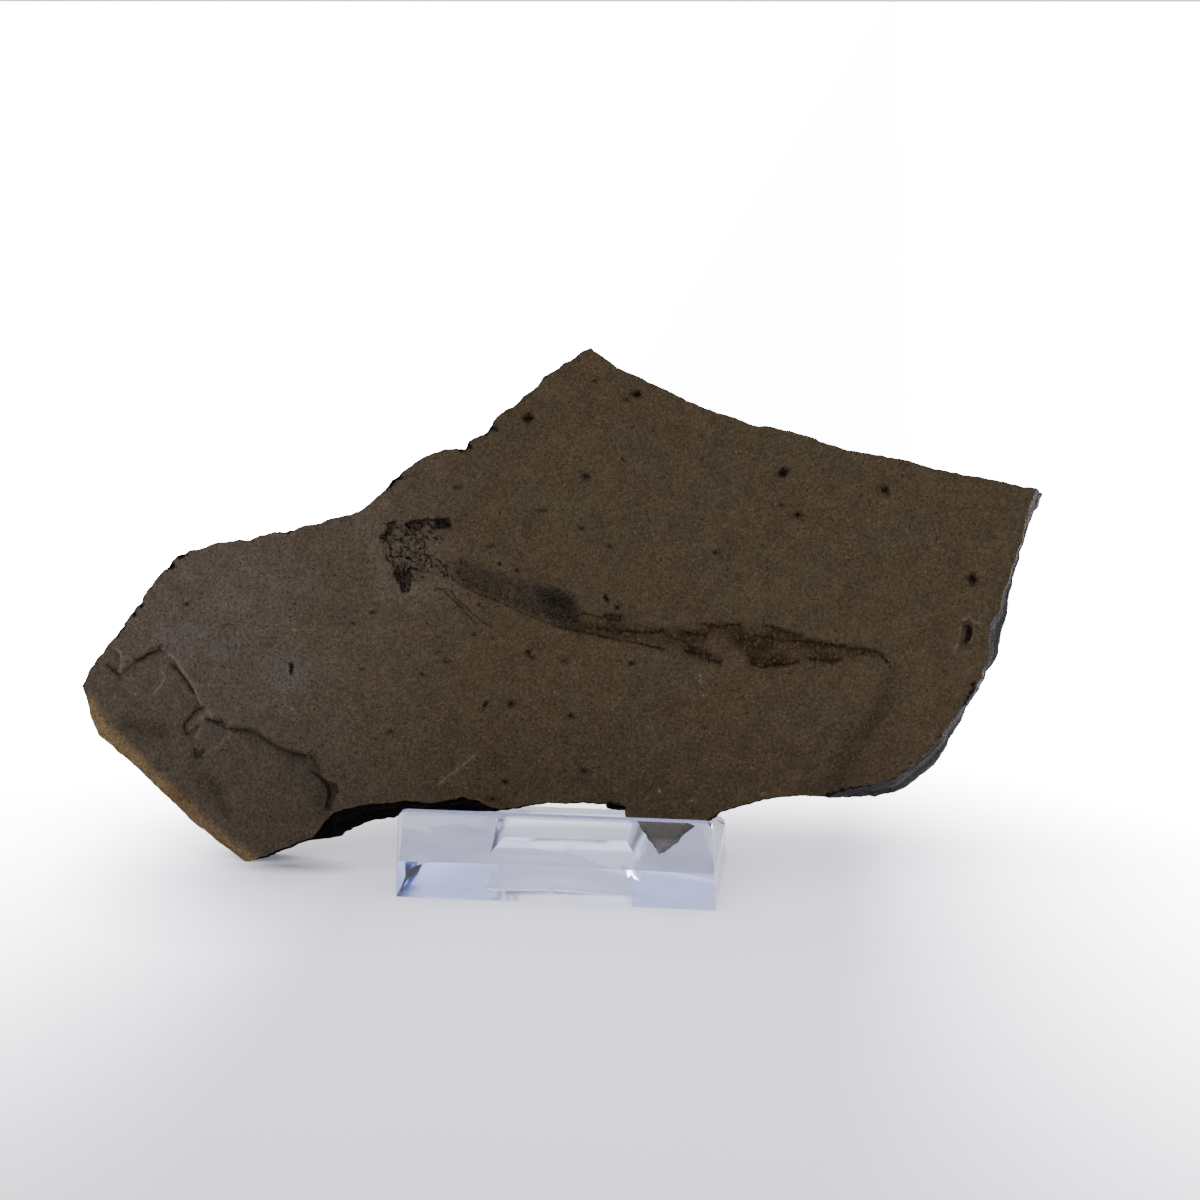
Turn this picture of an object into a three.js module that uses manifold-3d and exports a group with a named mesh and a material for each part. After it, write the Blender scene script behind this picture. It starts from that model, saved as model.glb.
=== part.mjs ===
import * as THREE from 'three';
import Module from 'manifold-3d';

// A thin slab of dark laminated shale with the fossil of a small amphibian, leaning in a clear moulded stand.
// Millimetres. X runs along the stand to the right, Y to the back, Z up.
// The origin is on the stand's underside, halfway along it and 5 mm behind its front face.

const wasm = await Module();
wasm.setup();

// Stand
const standWidth = 40.2;
const standDepth = 24;
const frontY = -5;
const baseHeight = 4.3;
const rearCornerRadius = 4;
const lipHeight = 11.3;
const lipTopThickness = 1.2;
const lipFootThickness = 2.4;
const lipTopWidth = 39.2;
const lipCornerRadius = 1.1;
const windowTop = { halfWidth: 7.5, front: 3.7, back: 12 };
const windowFoot = { halfWidth: 9.15, front: 2.8, back: 13.4 };
const supportFootY = 9.5;
const supportThickness = 2.4;
const supportLength = 38;
const supportFootHalfWidth = 12.4;
const supportTopHalfWidth = 10;
const supportOpeningHalfWidth = 7.5;
const supportOpeningLength = 28;
const gateRadius = 0.45;

// Slab
const slabThickness = 7;
const lean = THREE.MathUtils.degToRad(18);
const turn = THREE.MathUtils.degToRad(-4.2);
const slabTip = new THREE.Vector3(12, 0.8, 4.6);
const reliefStep = 3.6;
const reliefHeight = 0.16;
const backReliefHeight = 0.5;
const boneHeight = 0.28;

// How the broken rim steps from lamina to lamina: depth, share of the way to the back outline, step outwards
const laminae = [
  [1.4, 0, 0], [1.6, 0.2, 0.15], [2.6, 0.35, 0.1], [2.8, 0.5, -0.25], [4, 0.6, -0.2], [4.2, 0.75, 0.2],
  [5.4, 0.9, 0.1], [5.6, 1, -0.3], [6.6, 1, -0.35],
];

// The slab is drawn flat, in its own plane: s to the right, t up, n out of the face, from the tip of its lowest
// tooth. Each edge runs clockwise as seen from the front.
const leftEdge = [
  [-78.4, 17.2], [-77.1, 20.1], [-75.4, 22.4], [-73.3, 25.4], [-70.8, 29.1], [-69.3, 31.5], [-68.1, 33.1],
  [-66.3, 35.3],
];

const crownEdge = [
  [-64.3, 36.1], [-62.3, 36.6], [-60.7, 37.3], [-58.2, 37.7], [-56.1, 37.9], [-54.5, 38.6], [-52.8, 39.1],
  [-52.1, 38.9], [-50.5, 39.3], [-49, 40], [-46.6, 40.4], [-45.2, 41.2], [-42.8, 41.7], [-41.3, 42.4],
  [-40.2, 43.3], [-38.9, 44.6], [-37.4, 46.4], [-36, 47.6], [-34.5, 49], [-32.3, 50.1], [-30.7, 50.7],
  [-28.7, 51], [-28.2, 50.9], [-27.6, 52], [-26.4, 52.4], [-25.3, 53.3], [-24.1, 55.2], [-22.9, 56.1],
  [-21.4, 57.1], [-20.3, 58.2], [-19, 59.3], [-18, 60.7], [-16.5, 61.6], [-15.5, 62.6], [-14.4, 63.1],
  [-13.5, 63.9], [-12.2, 64.6],
];

const slopeEdge = [
  [-10.6, 63.4], [-8.8, 62.3], [-7.5, 61.7], [-4.4, 60.4], [-1.5, 59.2], [0.5, 58.2], [3.5, 57.1], [7, 56.1],
  [9.4, 55.3], [11.8, 55], [15.5, 54.4], [18, 53.5], [20.7, 52.7], [25, 52], [28.9, 51.5], [32.5, 50.5],
  [35.3, 50], [38.2, 49.7], [41.1, 49.1],
];

const rightEdge = {
  front: [
    [45.2, 48.5], [44.7, 47], [44.1, 45.1], [43.9, 43.2], [43.7, 41.6], [43, 39.6], [42.5, 37.5], [41.8, 35.3],
    [41.3, 33], [40.4, 31.4], [40.3, 29.4], [40.4, 27.4], [39.8, 25.4], [38.9, 23.1], [37.9, 21.3], [36.8, 19.5],
    [35.5, 17.7], [34.4, 16], [33.1, 14.5], [31.4, 13], [29.9, 11.6], [29, 10.9], [26.5, 10.4], [24.1, 9.8],
  ],
  back: [
    [46, 48.3], [45.5, 46.8], [44.7, 45], [44.2, 43.2], [43.7, 41.6], [43.2, 39.6], [42.8, 37.5], [42.5, 35.3],
    [42.2, 33], [41.9, 31.1], [41.5, 29.4], [41, 27.3], [40, 25.6], [39.1, 23.3], [38.1, 21.6], [37.3, 19.3],
    [36.1, 17.1], [35.2, 15.1], [34.1, 13.4], [32.5, 11.9], [30.8, 10.6], [29.6, 9.7], [27, 9], [24.4, 8.9],
  ],
};

const footEdge = [
  [21.4, 8.8], [18.7, 8.9], [16, 8.5], [12.9, 7.9], [10.2, 6.9], [7.7, 6], [5.9, 4.7], [4.4, 3.7], [3.7, 2.7],
  [2.1, 1.5], [0.6, 0.3], [0, -0.2], [-1.3, 0.9], [-2.5, 2], [-3.6, 3.5], [-4, 4.5], [-4.3, 5.7], [-6.7, 5.7],
  [-6.8, 6.2], [-8.7, 6.2], [-11.3, 6], [-13.9, 5.9], [-16.7, 5.4], [-18.6, 4.9],
];

const underEdge = {
  front: [
    [-20.3, 4.7], [-21.7, 4.8], [-23.3, 5.5], [-25.3, 5.9], [-27, 5.4], [-29.6, 4.8], [-32.5, 4.9], [-34.9, 4.6],
    [-37.3, 4.3], [-39.4, 3.8], [-41.2, 3.3], [-42.8, 2.5], [-44.2, 1.6], [-44.8, 0.5], [-45.7, -0.6],
    [-48.5, -1.9], [-51.4, -3.3],
  ],
  back: [
    [-20.6, 4.5], [-22.3, 4.1], [-24.2, 3.9], [-26.2, 3.7], [-28.6, 3.7], [-31, 3.5], [-34, 2.8], [-36, 2.4],
    [-38.3, 1.9], [-39.8, 1.2], [-41, 0.5], [-42.3, -0.5], [-43.8, -0.9], [-45.2, -1], [-46.8, -1.2],
    [-49.2, -2.2], [-51.8, -3.4],
  ],
};

const lowerLeftEdge = [
  [-54.3, -4.6], [-56.3, -3.3], [-58.9, -1.5], [-62.1, 0.6], [-64.1, 2.1], [-67.6, 4.9], [-70.8, 7.4],
  [-73.4, 9.3], [-75.7, 11], [-77, 13.5],
];

// The patch at the lower left where the top laminae have flaked off: [s, t, depth]
const flakedPatch = [
  [-75.7, 23.6, 0.2], [-73, 21.7, 0.3], [-73.4, 18.9, 0.4], [-70.7, 21.5, 0.4], [-67.9, 22.7, 0.4],
  [-65.4, 21.2, 0.5], [-63.3, 18.7, 0.5], [-61.7, 15.9, 0.6], [-63.7, 12.3, 0.6], [-60.7, 14.5, 0.6],
  [-57.7, 13, 0.7], [-53.7, 12.7, 0.8], [-50.6, 11, 1], [-45.9, 10, 1.3], [-44.9, 8.3, 1.6], [-42.2, 6.4, 2.3],
  [-42.8, 4.1, 2.5], [-43.4, 1, 2.5], [-44, -3, 2.2], [-50, -8, 1.5], [-58, -8, 0.9], [-70, 0, 0.8],
  [-81, 8, 0.7], [-81, 19, 0.4],
];

const openCrack = [
  [-44.8, 8.2, 1.6], [-42.1, 6.5, 4.2], [-42.1, 5.6, 4.4], [-42.9, 2.4, 4], [-43.5, 2.6, 3.4], [-44, 5.4, 2.4],
];

// Shallow scars on the back: [s, t, depth]
const backScars = [
  [
    [-30, 66, 0.9], [52, 66, 0.7], [52, 34, 0.5], [33, 36, 0.6], [24, 41, 0.8], [9, 38, 0.8], [-2, 46, 1],
    [-12, 44, 1.1], [-24, 50, 1],
  ],
  [
    [-84, 30, 0.7], [-66, 27, 0.9], [-58, 20, 1], [-47, 19, 1.2], [-41, 11, 1.2], [-43, -10, 1], [-84, -10, 0.5],
  ],
];

const edgeFlake = [
  [36.9, 31.8, 0.3], [38.2, 32, 0.3], [38.6, 30.6, 0.5], [37.9, 28.5, 0.5], [36.8, 28, 0.3], [36.4, 29.8, 0.5],
];

// Small pits in the face: [s, t, radius, depth]
const pits = [
  [-19.9, 55.1, 0.7, 0.4], [-5.9, 58.6, 0.5, 0.3], [-11.8, 48, 0.45, 0.3], [13.4, 49.3, 0.75, 0.35],
  [26.3, 47.8, 0.45, 0.3], [37.9, 36.8, 0.8, 0.4], [-49.3, 20.9, 0.6, 0.5], [-19.7, 18.2, 0.45, 0.3],
  [-12, 17.1, 0.35, 0.2], [-20, 8.2, 0.4, 0.3],
];

// Skull bones that stand up from the face: [from s, from t, to s, to t, width]
const bones = [
  [-34.9, 41.7, -30.6, 42.2, 0.6], [-31.2, 42.1, -29, 41.4, 1], [-35.6, 41.2, -34.4, 41.6, 0.7],
  [-37.7, 41.9, -36.8, 41.3, 0.4], [-38.6, 40.3, -37.7, 41.5, 0.6], [-38.4, 39.2, -37.2, 40.6, 0.7],
  [-37.6, 37.4, -37.3, 39.4, 0.5], [-36.9, 38.7, -35.3, 38.1, 0.4], [-35.4, 39.9, -34.6, 39.2, 0.6],
  [-34.8, 38, -33.2, 38.6, 0.4], [-33.6, 38.6, -32.4, 36.9, 0.45], [-37.1, 36.4, -35.2, 36.3, 0.5],
  [-34.2, 36.4, -32.2, 36.7, 0.45], [-36.4, 34.9, -35.6, 32.9, 0.6], [-35.2, 34.6, -35, 33, 0.45],
  [-33, 35, -31.7, 34.4, 0.4],
];

function seededNoise(seed) {
  let state = seed;
  return () => {
    state = (state * 1664525 + 1013904223) % 4294967296;
    return state / 2147483648 - 1;
  };
}

function solidFromMesh(positions, triangles) {
  return new wasm.Manifold(new wasm.Mesh({
    numProp: 3,
    vertProperties: new Float32Array(positions),
    triVerts: new Uint32Array(triangles),
  }));
}

// A closed body through a stack of outlines with the same number of points, lowest outline first
function loft(rings) {
  const count = rings[0].length;
  const positions = rings.flat(2);
  const triangles = [];
  for (let ring = 0; ring + 1 < rings.length; ring += 1) {
    for (let i = 0; i < count; i += 1) {
      const next = (i + 1) % count;
      const a = ring * count + i;
      const b = ring * count + next;
      triangles.push(a, b, b + count, a, b + count, a + count);
    }
  }
  const top = (rings.length - 1) * count;
  const flat = ring => ring.map(point => new THREE.Vector2(point[0], point[1]));
  for (const [a, b, c] of THREE.ShapeUtils.triangulateShape(flat(rings[0]), [])) {
    triangles.push(a, c, b);
  }
  for (const [a, b, c] of THREE.ShapeUtils.triangulateShape(flat(rings.at(-1)), [])) {
    triangles.push(top + a, top + b, top + c);
  }
  return solidFromMesh(positions, triangles);
}

const atLevel = (points, level) => points.map(([x, y]) => [x, y, level]);

// Cuts down into the face to a depth given at each corner
function cutter(points) {
  const outline = points.slice().reverse();
  return loft([outline.map(([s, t, depth]) => [s, t, -depth]), atLevel(outline, 3)]);
}

function backCutter(points) {
  const outline = points.slice().reverse();
  return loft([atLevel(outline, -slabThickness - 3), outline.map(([s, t, depth]) => [s, t, depth - slabThickness])]);
}

function slabOutline(side) {
  const outline = [
    ...leftEdge, ...crownEdge, ...slopeEdge, ...rightEdge[side], ...footEdge, ...underEdge[side], ...lowerLeftEdge,
  ];
  return outline.reverse();
}

function laminaRing(front, back, share, step, noise) {
  return front.map(([s, t], i) => {
    const before = front.at(i - 1);
    const after = front[(i + 1) % front.length];
    const outward = new THREE.Vector2(after[1] - before[1], before[0] - after[0]).normalize();
    const reach = step * (1 + 0.6 * Math.sin(i / 5)) + noise() * 0.12 * Math.sign(Math.abs(step));
    return [
      s + (back[i][0] - s) * share + outward.x * reach,
      t + (back[i][1] - t) * share + outward.y * reach,
    ];
  });
}

function slabPrism() {
  const front = slabOutline('front');
  const back = slabOutline('back');
  const noise = seededNoise(7);
  const bevelled = front.map(([s, t], i) => (i < lowerLeftEdge.length ? [s + 0.7, t + 0.9] : [s, t]));
  const rings = [atLevel(bevelled, 2), atLevel(bevelled, 0)];
  for (const [depth, share, step] of laminae) {
    rings.push(atLevel(laminaRing(front, back, share, step, noise), -depth));
  }
  rings.push(atLevel(rings.at(-1), -slabThickness - 2));
  return loft(rings.reverse());
}

// The face and the back are gently uneven
function reliefBlock() {
  const columns = Math.ceil(132 / reliefStep);
  const rows = Math.ceil(78 / reliefStep);
  const faceNoise = seededNoise(31);
  const backNoise = seededNoise(43);
  const positions = [];
  const triangles = [];
  for (let row = 0; row <= rows; row += 1) {
    for (let column = 0; column <= columns; column += 1) {
      const s = -82 + column * reliefStep;
      const t = -8 + row * reliefStep;
      const faceSwell = 0.2 * Math.sin(s / 17 + 1) * Math.cos(t / 13);
      const backSwell = 0.5 * Math.sin(s / 11) * Math.sin(t / 9 + 2);
      positions.push(s, t, faceSwell - 0.2 + faceNoise() * reliefHeight * 0.5);
      positions.push(s, t, backSwell - slabThickness + backNoise() * backReliefHeight * 0.5);
    }
  }
  const at = (column, row, side) => (row * (columns + 1) + column) * 2 + side;
  for (let row = 0; row < rows; row += 1) {
    for (let column = 0; column < columns; column += 1) {
      for (const side of [0, 1]) {
        const a = at(column, row, side);
        const b = at(column + 1, row, side);
        const c = at(column + 1, row + 1, side);
        const d = at(column, row + 1, side);
        triangles.push(...(side ? [a, c, b, a, d, c] : [a, b, c, a, c, d]));
      }
    }
  }
  const wall = (c0, r0, c1, r1) => {
    const a = at(c0, r0, 1);
    const b = at(c1, r1, 1);
    triangles.push(a, b, b - 1, a, b - 1, a - 1);
  };
  for (let column = 0; column < columns; column += 1) {
    wall(column, 0, column + 1, 0);
    wall(column + 1, rows, column, rows);
  }
  for (let row = 0; row < rows; row += 1) {
    wall(columns, row, columns, row + 1);
    wall(0, row + 1, 0, row);
  }
  return solidFromMesh(positions, triangles);
}

function pit([s, t, radius, depth]) {
  const ring = (size, level) => Array.from({ length: 7 }, (_, i) => {
    const angle = i / 7 * Math.PI * 2;
    return [s + Math.cos(angle) * size, t + Math.sin(angle) * size * 1.2, level];
  });
  return loft([ring(radius * 0.4, -depth - 0.15), ring(radius, 0.5)]);
}

function bone([s0, t0, s1, t1, width]) {
  const along = new THREE.Vector2(s1 - s0, t1 - t0).normalize();
  const side = new THREE.Vector2(-along.y, along.x).multiplyScalar(width / 2);
  const diamond = (shrink, level) => [
    [s0 + along.x * shrink, t0 + along.y * shrink, level],
    [(s0 + s1) / 2 - side.x * (1 - shrink), (t0 + t1) / 2 - side.y * (1 - shrink), level],
    [s1 - along.x * shrink, t1 - along.y * shrink, level],
    [(s0 + s1) / 2 + side.x * (1 - shrink), (t0 + t1) / 2 + side.y * (1 - shrink), level],
  ];
  return loft([diamond(0, -0.8), diamond(0.2, boneHeight - 0.2)]);
}

function slabPlacement() {
  const across = new THREE.Vector3(Math.cos(turn), Math.sin(turn), 0);
  const away = new THREE.Vector3(-Math.sin(turn), Math.cos(turn), 0);
  const upward = away.clone().multiplyScalar(Math.sin(lean)).add(new THREE.Vector3(0, 0, Math.cos(lean)));
  const outward = new THREE.Vector3().crossVectors(across, upward);
  return new THREE.Matrix4().makeBasis(across, upward, outward).setPosition(slabTip);
}

function fossilSlab() {
  let slab = slabPrism().intersect(reliefBlock());
  for (const patch of [flakedPatch, openCrack, edgeFlake]) {
    slab = slab.subtract(cutter(patch));
  }
  for (const scar of backScars) {
    slab = slab.subtract(backCutter(scar));
  }
  for (const spot of pits) {
    slab = slab.subtract(pit(spot));
  }
  for (const sliver of bones) {
    slab = slab.add(bone(sliver));
  }
  const placed = slab.transform(slabPlacement().elements);
  const belowTable = wasm.Manifold.cube([200, 200, 40], true).translate([0, 0, -20]);
  const insideStand = wasm.Manifold.cube([standWidth + 1.4, 60, 40], true).translate([0, 0, slabTip.z - 20]);
  return placed.subtract(belowTable).subtract(insideStand);
}

function rounded(points, radius, corners) {
  const outline = [];
  points.forEach(([x, y], i) => {
    if (!corners.includes(i)) {
      outline.push([x, y]);
      return;
    }
    const corner = new THREE.Vector2(x, y);
    const before = new THREE.Vector2(...points.at(i - 1)).sub(corner).normalize();
    const after = new THREE.Vector2(...points[(i + 1) % points.length]).sub(corner).normalize();
    const setback = radius / Math.tan(before.angleTo(after) / 2);
    const start = corner.clone().addScaledVector(before, setback);
    const end = corner.clone().addScaledVector(after, setback);
    const arc = new THREE.QuadraticBezierCurve(start, corner, end);
    outline.push(...arc.getPoints(5).map(point => [point.x, point.y]));
  });
  return outline;
}

function standBase() {
  const half = standWidth / 2;
  const rear = frontY + standDepth;
  const outline = rounded([[-half, frontY], [half, frontY], [half, rear], [-half, rear]], rearCornerRadius, [2, 3]);
  const top = outline.map(([x, y]) => [x * 0.99, y]);
  return loft([atLevel(outline, 0), atLevel(top, baseHeight)]);
}

function standLip() {
  const profile = [
    [frontY, 0], [frontY + lipFootThickness, 0], [frontY + lipFootThickness, baseHeight],
    [frontY + lipTopThickness, lipHeight], [frontY, lipHeight],
  ];
  const wedge = loft([-standWidth, standWidth].map(x => profile.map(([y, z]) => [y, z, x])));
  const upright = wedge.transform(new THREE.Matrix4().set(0, 0, 1, 0, 1, 0, 0, 0, 0, 1, 0, 0, 0, 0, 0, 1).elements);
  const face = rounded([
    [-standWidth / 2, -0.001], [standWidth / 2, -0.001], [lipTopWidth / 2, lipHeight], [-lipTopWidth / 2, lipHeight],
  ], lipCornerRadius, [2, 3]);
  const elevation = loft([atLevel(face, -8), atLevel(face, 8)]);
  return upright.intersect(elevation.rotate([90, 0, 0]));
}

function standWindow() {
  const corners = ({ halfWidth, front, back }, level) => [
    [-halfWidth, front, level], [halfWidth, front, level], [halfWidth, back, level], [-halfWidth, back, level],
  ];
  const flare = (level) => {
    const share = (baseHeight - level) / baseHeight;
    const mix = key => THREE.MathUtils.lerp(windowTop[key], windowFoot[key], share);
    return corners({ halfWidth: mix('halfWidth'), front: mix('front'), back: mix('back') }, level);
  };
  return loft([flare(-1), flare(baseHeight + 1)]);
}

function standSupport() {
  const outer = rounded([
    [-supportFootHalfWidth, -6], [supportFootHalfWidth, -6], [supportTopHalfWidth, supportLength],
    [-supportTopHalfWidth, supportLength],
  ], 4, [2, 3]);
  const inner = rounded([
    [-supportOpeningHalfWidth, -8], [supportOpeningHalfWidth, -8], [supportOpeningHalfWidth, supportOpeningLength],
    [-supportOpeningHalfWidth, supportOpeningLength],
  ], 4, [2, 3]);
  const frame = loft([atLevel(outer, -supportThickness), atLevel(outer, 0)])
    .subtract(loft([atLevel(inner, -supportThickness - 1), atLevel(inner, 1)]));
  const leaning = frame.rotate([90 - THREE.MathUtils.radToDeg(lean), 0, 0]).translate([0, supportFootY, 0]);
  const aboveFloor = wasm.Manifold.cube([80, 80, 80], true).translate([0, 0, 40 + baseHeight / 2]);
  return leaning.intersect(aboveFloor);
}

function gateMark() {
  return wasm.Manifold.sphere(gateRadius, 12).scale([0.8, 0.5, 2.9]).translate([-0.4, frontY, 2.4]);
}

function displayStand() {
  return standBase().add(standLip()).subtract(standWindow()).add(standSupport()).add(gateMark());
}

function stoneMaterial() {
  return new THREE.MeshStandardMaterial({ color: 0x3d362e, roughness: 0.85, flatShading: true });
}

function clearPlasticMaterial() {
  return new THREE.MeshStandardMaterial({ color: 0xdfe3f7, roughness: 0.05, transparent: true, opacity: 0.35 });
}

function namedMesh(name, solid, material) {
  const { vertProperties, triVerts, numProp } = solid.getMesh();
  const geometry = new THREE.BufferGeometry();
  const positions = new Float32Array(vertProperties.length / numProp * 3);
  for (let i = 0; i < positions.length / 3; i += 1) {
    positions.set(vertProperties.subarray(i * numProp, i * numProp + 3), i * 3);
  }
  geometry.setAttribute('position', new THREE.BufferAttribute(positions, 3));
  geometry.setIndex(new THREE.BufferAttribute(new Uint32Array(triVerts), 1));
  geometry.computeVertexNormals();
  const mesh = new THREE.Mesh(geometry, material);
  mesh.name = name;
  return mesh;
}

const part = new THREE.Group();
part.add(namedMesh('fossil_slab', fossilSlab(), stoneMaterial()));
part.add(namedMesh('display_stand', displayStand(), clearPlasticMaterial()));

export default part;
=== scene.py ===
import math

import bmesh
import bpy
import numpy as np
from mathutils import Matrix, Vector, geometry, kdtree, noise


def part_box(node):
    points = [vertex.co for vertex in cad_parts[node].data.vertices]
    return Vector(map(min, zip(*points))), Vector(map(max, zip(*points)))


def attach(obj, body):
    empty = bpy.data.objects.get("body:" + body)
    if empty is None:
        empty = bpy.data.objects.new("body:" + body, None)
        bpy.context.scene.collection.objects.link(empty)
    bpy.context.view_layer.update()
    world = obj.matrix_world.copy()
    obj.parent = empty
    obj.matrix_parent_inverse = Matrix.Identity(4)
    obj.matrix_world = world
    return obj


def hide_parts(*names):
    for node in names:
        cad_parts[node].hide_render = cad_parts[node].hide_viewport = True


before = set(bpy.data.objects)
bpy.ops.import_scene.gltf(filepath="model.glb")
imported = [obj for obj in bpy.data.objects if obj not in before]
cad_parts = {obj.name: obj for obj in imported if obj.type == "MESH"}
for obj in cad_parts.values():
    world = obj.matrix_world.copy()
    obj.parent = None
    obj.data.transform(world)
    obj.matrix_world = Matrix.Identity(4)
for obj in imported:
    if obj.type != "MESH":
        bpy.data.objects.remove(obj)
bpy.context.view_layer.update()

# Lengths below are millimetres, and mm turns them into Blender's metres.
# The slab is described flat, in its own plane: s to the right, t up, n out of the face,
# from the tip of its lowest tooth. slabToRoom puts it where it leans.
mm = 0.001

slab = {
    "tip": (12, 0.8, 4.6),  # where the tip of the lowest tooth stands
    "lean": 18,  # degrees back from upright
    "turn": -4.2,  # degrees about the vertical
    "thickness": 7,
    "edgeStep": 0.36,  # spacing of points along the broken edge
    "edgeBite": 0.16,  # how ragged the edge is
    "bevel": (0.32, 0.42),  # the weathered shoulder at the lower left
    "bevelDepth": 1,
    "faceRoughness": 0.045,
    "boneHeight": 0.13,
    "filmHeight": 0.03,  # body film and hair-thin lines
    "crackDepth": 0.6,
    "edgeFlakeDepth": 0.35,
    "flakeScarDepth": 0.16,
    "ledgeDepth": 0.1,
    "scarWobble": 1.5,  # how far the back's scars stray from their drawn lines
    "standMargin": 0.7,  # above the stand and this far around it nothing sinks below the tooth's tip
    "smoothAngle": 42,
    "seed": 7,
    "toneGain": 0.66,  # all the stone's colours, darker below 1
    "footShade": 0.84,  # painted shade: how much darker the stone is painted close to the table
    "footRise": (8, 26),  # heights between which that shade fades out
    "bump": (0.8, 0.15),  # strength and depth of the grain's relief
    "specular": 0.03,
}

# Distances between the points of the mesh
spacing = {"skull": 0.13, "body": 0.25, "flaked": 0.42, "face": 0.62, "back": 0.95}


# Points are written s, t, s, t and so on. A stroke is a row with its width first.

def pointsOf(*numbers):
    return list(zip(numbers[::2], numbers[1::2]))


def strokesOf(*rows):
    return [(row[0], pointsOf(*row[1:])) for row in rows]


# Broken edge, clockwise as seen from the front
leftEdge = pointsOf(
    -78.4, 17.2, -77.1, 20.1, -75.4, 22.4, -73.3, 25.4, -70.8, 29.1, -69.3, 31.5, -68.1, 33.1, -66.3, 35.3,
)
crownEdge = pointsOf(
    -64.3, 36.1, -62.3, 36.6, -60.7, 37.3, -58.2, 37.7, -56.1, 37.9, -54.5, 38.6, -52.8, 39.1, -52.1, 38.9,
    -50.5, 39.3, -49, 40, -46.6, 40.4, -45.2, 41.2, -42.8, 41.7, -41.3, 42.4, -40.2, 43.3, -38.9, 44.6,
    -37.4, 46.4, -36, 47.6, -34.5, 49, -32.3, 50.1, -30.7, 50.7, -28.7, 51, -28.2, 50.9, -27.6, 52,
    -26.4, 52.4, -25.3, 53.3, -24.1, 55.2, -22.9, 56.1, -21.4, 57.1, -20.3, 58.2, -19, 59.3, -18, 60.7,
    -16.5, 61.6, -15.5, 62.6, -14.4, 63.1, -13.5, 63.9, -12.2, 64.6,
)
slopeEdge = pointsOf(
    -10.6, 63.4, -8.8, 62.3, -7.5, 61.7, -4.4, 60.4, -1.5, 59.2, 0.5, 58.2, 3.5, 57.1, 7, 56.1, 9.4, 55.3,
    11.8, 55, 15.5, 54.4, 18, 53.5, 20.7, 52.7, 25, 52, 28.9, 51.5, 32.5, 50.5, 35.3, 50, 38.2, 49.7,
    41.1, 49.1,
)
rightEdge = pointsOf(
    45.2, 48.5, 44.7, 47, 44.1, 45.1, 43.9, 43.2, 43.7, 41.6, 43, 39.6, 42.5, 37.5, 41.8, 35.3, 41.3, 33,
    40.4, 31.4, 40.3, 29.4, 40.4, 27.4, 39.8, 25.4, 38.9, 23.1, 37.9, 21.3, 36.8, 19.5, 35.5, 17.7,
    34.4, 16, 33.1, 14.5, 31.4, 13, 29.9, 11.6, 29, 10.9, 26.5, 10.4, 24.1, 9.8,
)
rightEdgeBack = pointsOf(
    46, 48.3, 45.5, 46.8, 44.7, 45, 44.2, 43.2, 43.7, 41.6, 43.2, 39.6, 42.8, 37.5, 42.5, 35.3, 42.2, 33,
    41.9, 31.1, 41.5, 29.4, 41, 27.3, 40, 25.6, 39.1, 23.3, 38.1, 21.6, 37.3, 19.3, 36.1, 17.1, 35.2, 15.1,
    34.1, 13.4, 32.5, 11.9, 30.8, 10.6, 29.6, 9.7, 27, 9, 24.4, 8.9,
)
footEdge = pointsOf(
    21.4, 8.8, 18.7, 8.9, 16, 8.5, 12.9, 7.9, 10.2, 6.9, 7.7, 6, 5.9, 4.7, 4.4, 3.7, 3.7, 2.7, 2.1, 1.5,
    0.6, 0.3, 0, -0.2, -1.3, 0.9, -2.5, 2, -3.6, 3.5, -4, 4.5, -4.3, 5.7, -6.7, 5.7, -6.8, 6.2, -8.7, 6.2,
    -11.3, 6, -13.9, 5.9, -16.7, 5.4, -18.6, 4.9,
)
underEdge = pointsOf(
    -20.3, 4.7, -21.7, 4.8, -23.3, 5.5, -25.3, 5.9, -27, 5.4, -29.6, 4.8, -32.5, 4.9, -34.9, 4.6,
    -37.3, 4.3, -39.4, 3.8, -41.2, 3.3, -42.8, 2.5, -44.2, 1.6, -44.8, 0.5, -45.7, -0.6, -48.5, -1.9,
    -51.4, -3.3,
)
underEdgeBack = pointsOf(
    -20.6, 4.5, -22.3, 4.1, -24.2, 3.9, -26.2, 3.7, -28.6, 3.7, -31, 3.5, -34, 2.8, -36, 2.4, -38.3, 1.9,
    -39.8, 1.2, -41, 0.5, -42.3, -0.5, -43.8, -0.9, -45.2, -1, -46.8, -1.2, -49.2, -2.2, -51.8, -3.4,
)
lowerLeftEdge = pointsOf(
    -54.3, -4.6, -56.3, -3.3, -58.9, -1.5, -62.1, 0.6, -64.1, 2.1, -67.6, 4.9, -70.8, 7.4, -73.4, 9.3,
    -75.7, 11, -77, 13.5,
)

# How the broken rim steps from lamina to lamina: depth, share of the way to the back outline, step outwards
laminae = [
    (0, 0, 0), (1.4, 0, 0), (1.6, 0.2, 0.12), (2.6, 0.35, 0.08), (2.8, 0.5, -0.25), (4, 0.6, -0.2),
    (4.2, 0.75, 0.15), (5.4, 0.9, 0.08), (5.6, 1, -0.3), (7, 1, -0.38),
]

# Shares of the thickness at which the rim has a row of points
rimShares = [
    0, 0.02, 0.05, 0.09, 0.13, 0.18, 0.215, 0.24, 0.28, 0.33, 0.365, 0.395, 0.44, 0.5, 0.56, 0.59, 0.62, 0.68,
    0.74, 0.78, 0.81, 0.87, 0.94, 1,
]

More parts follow.
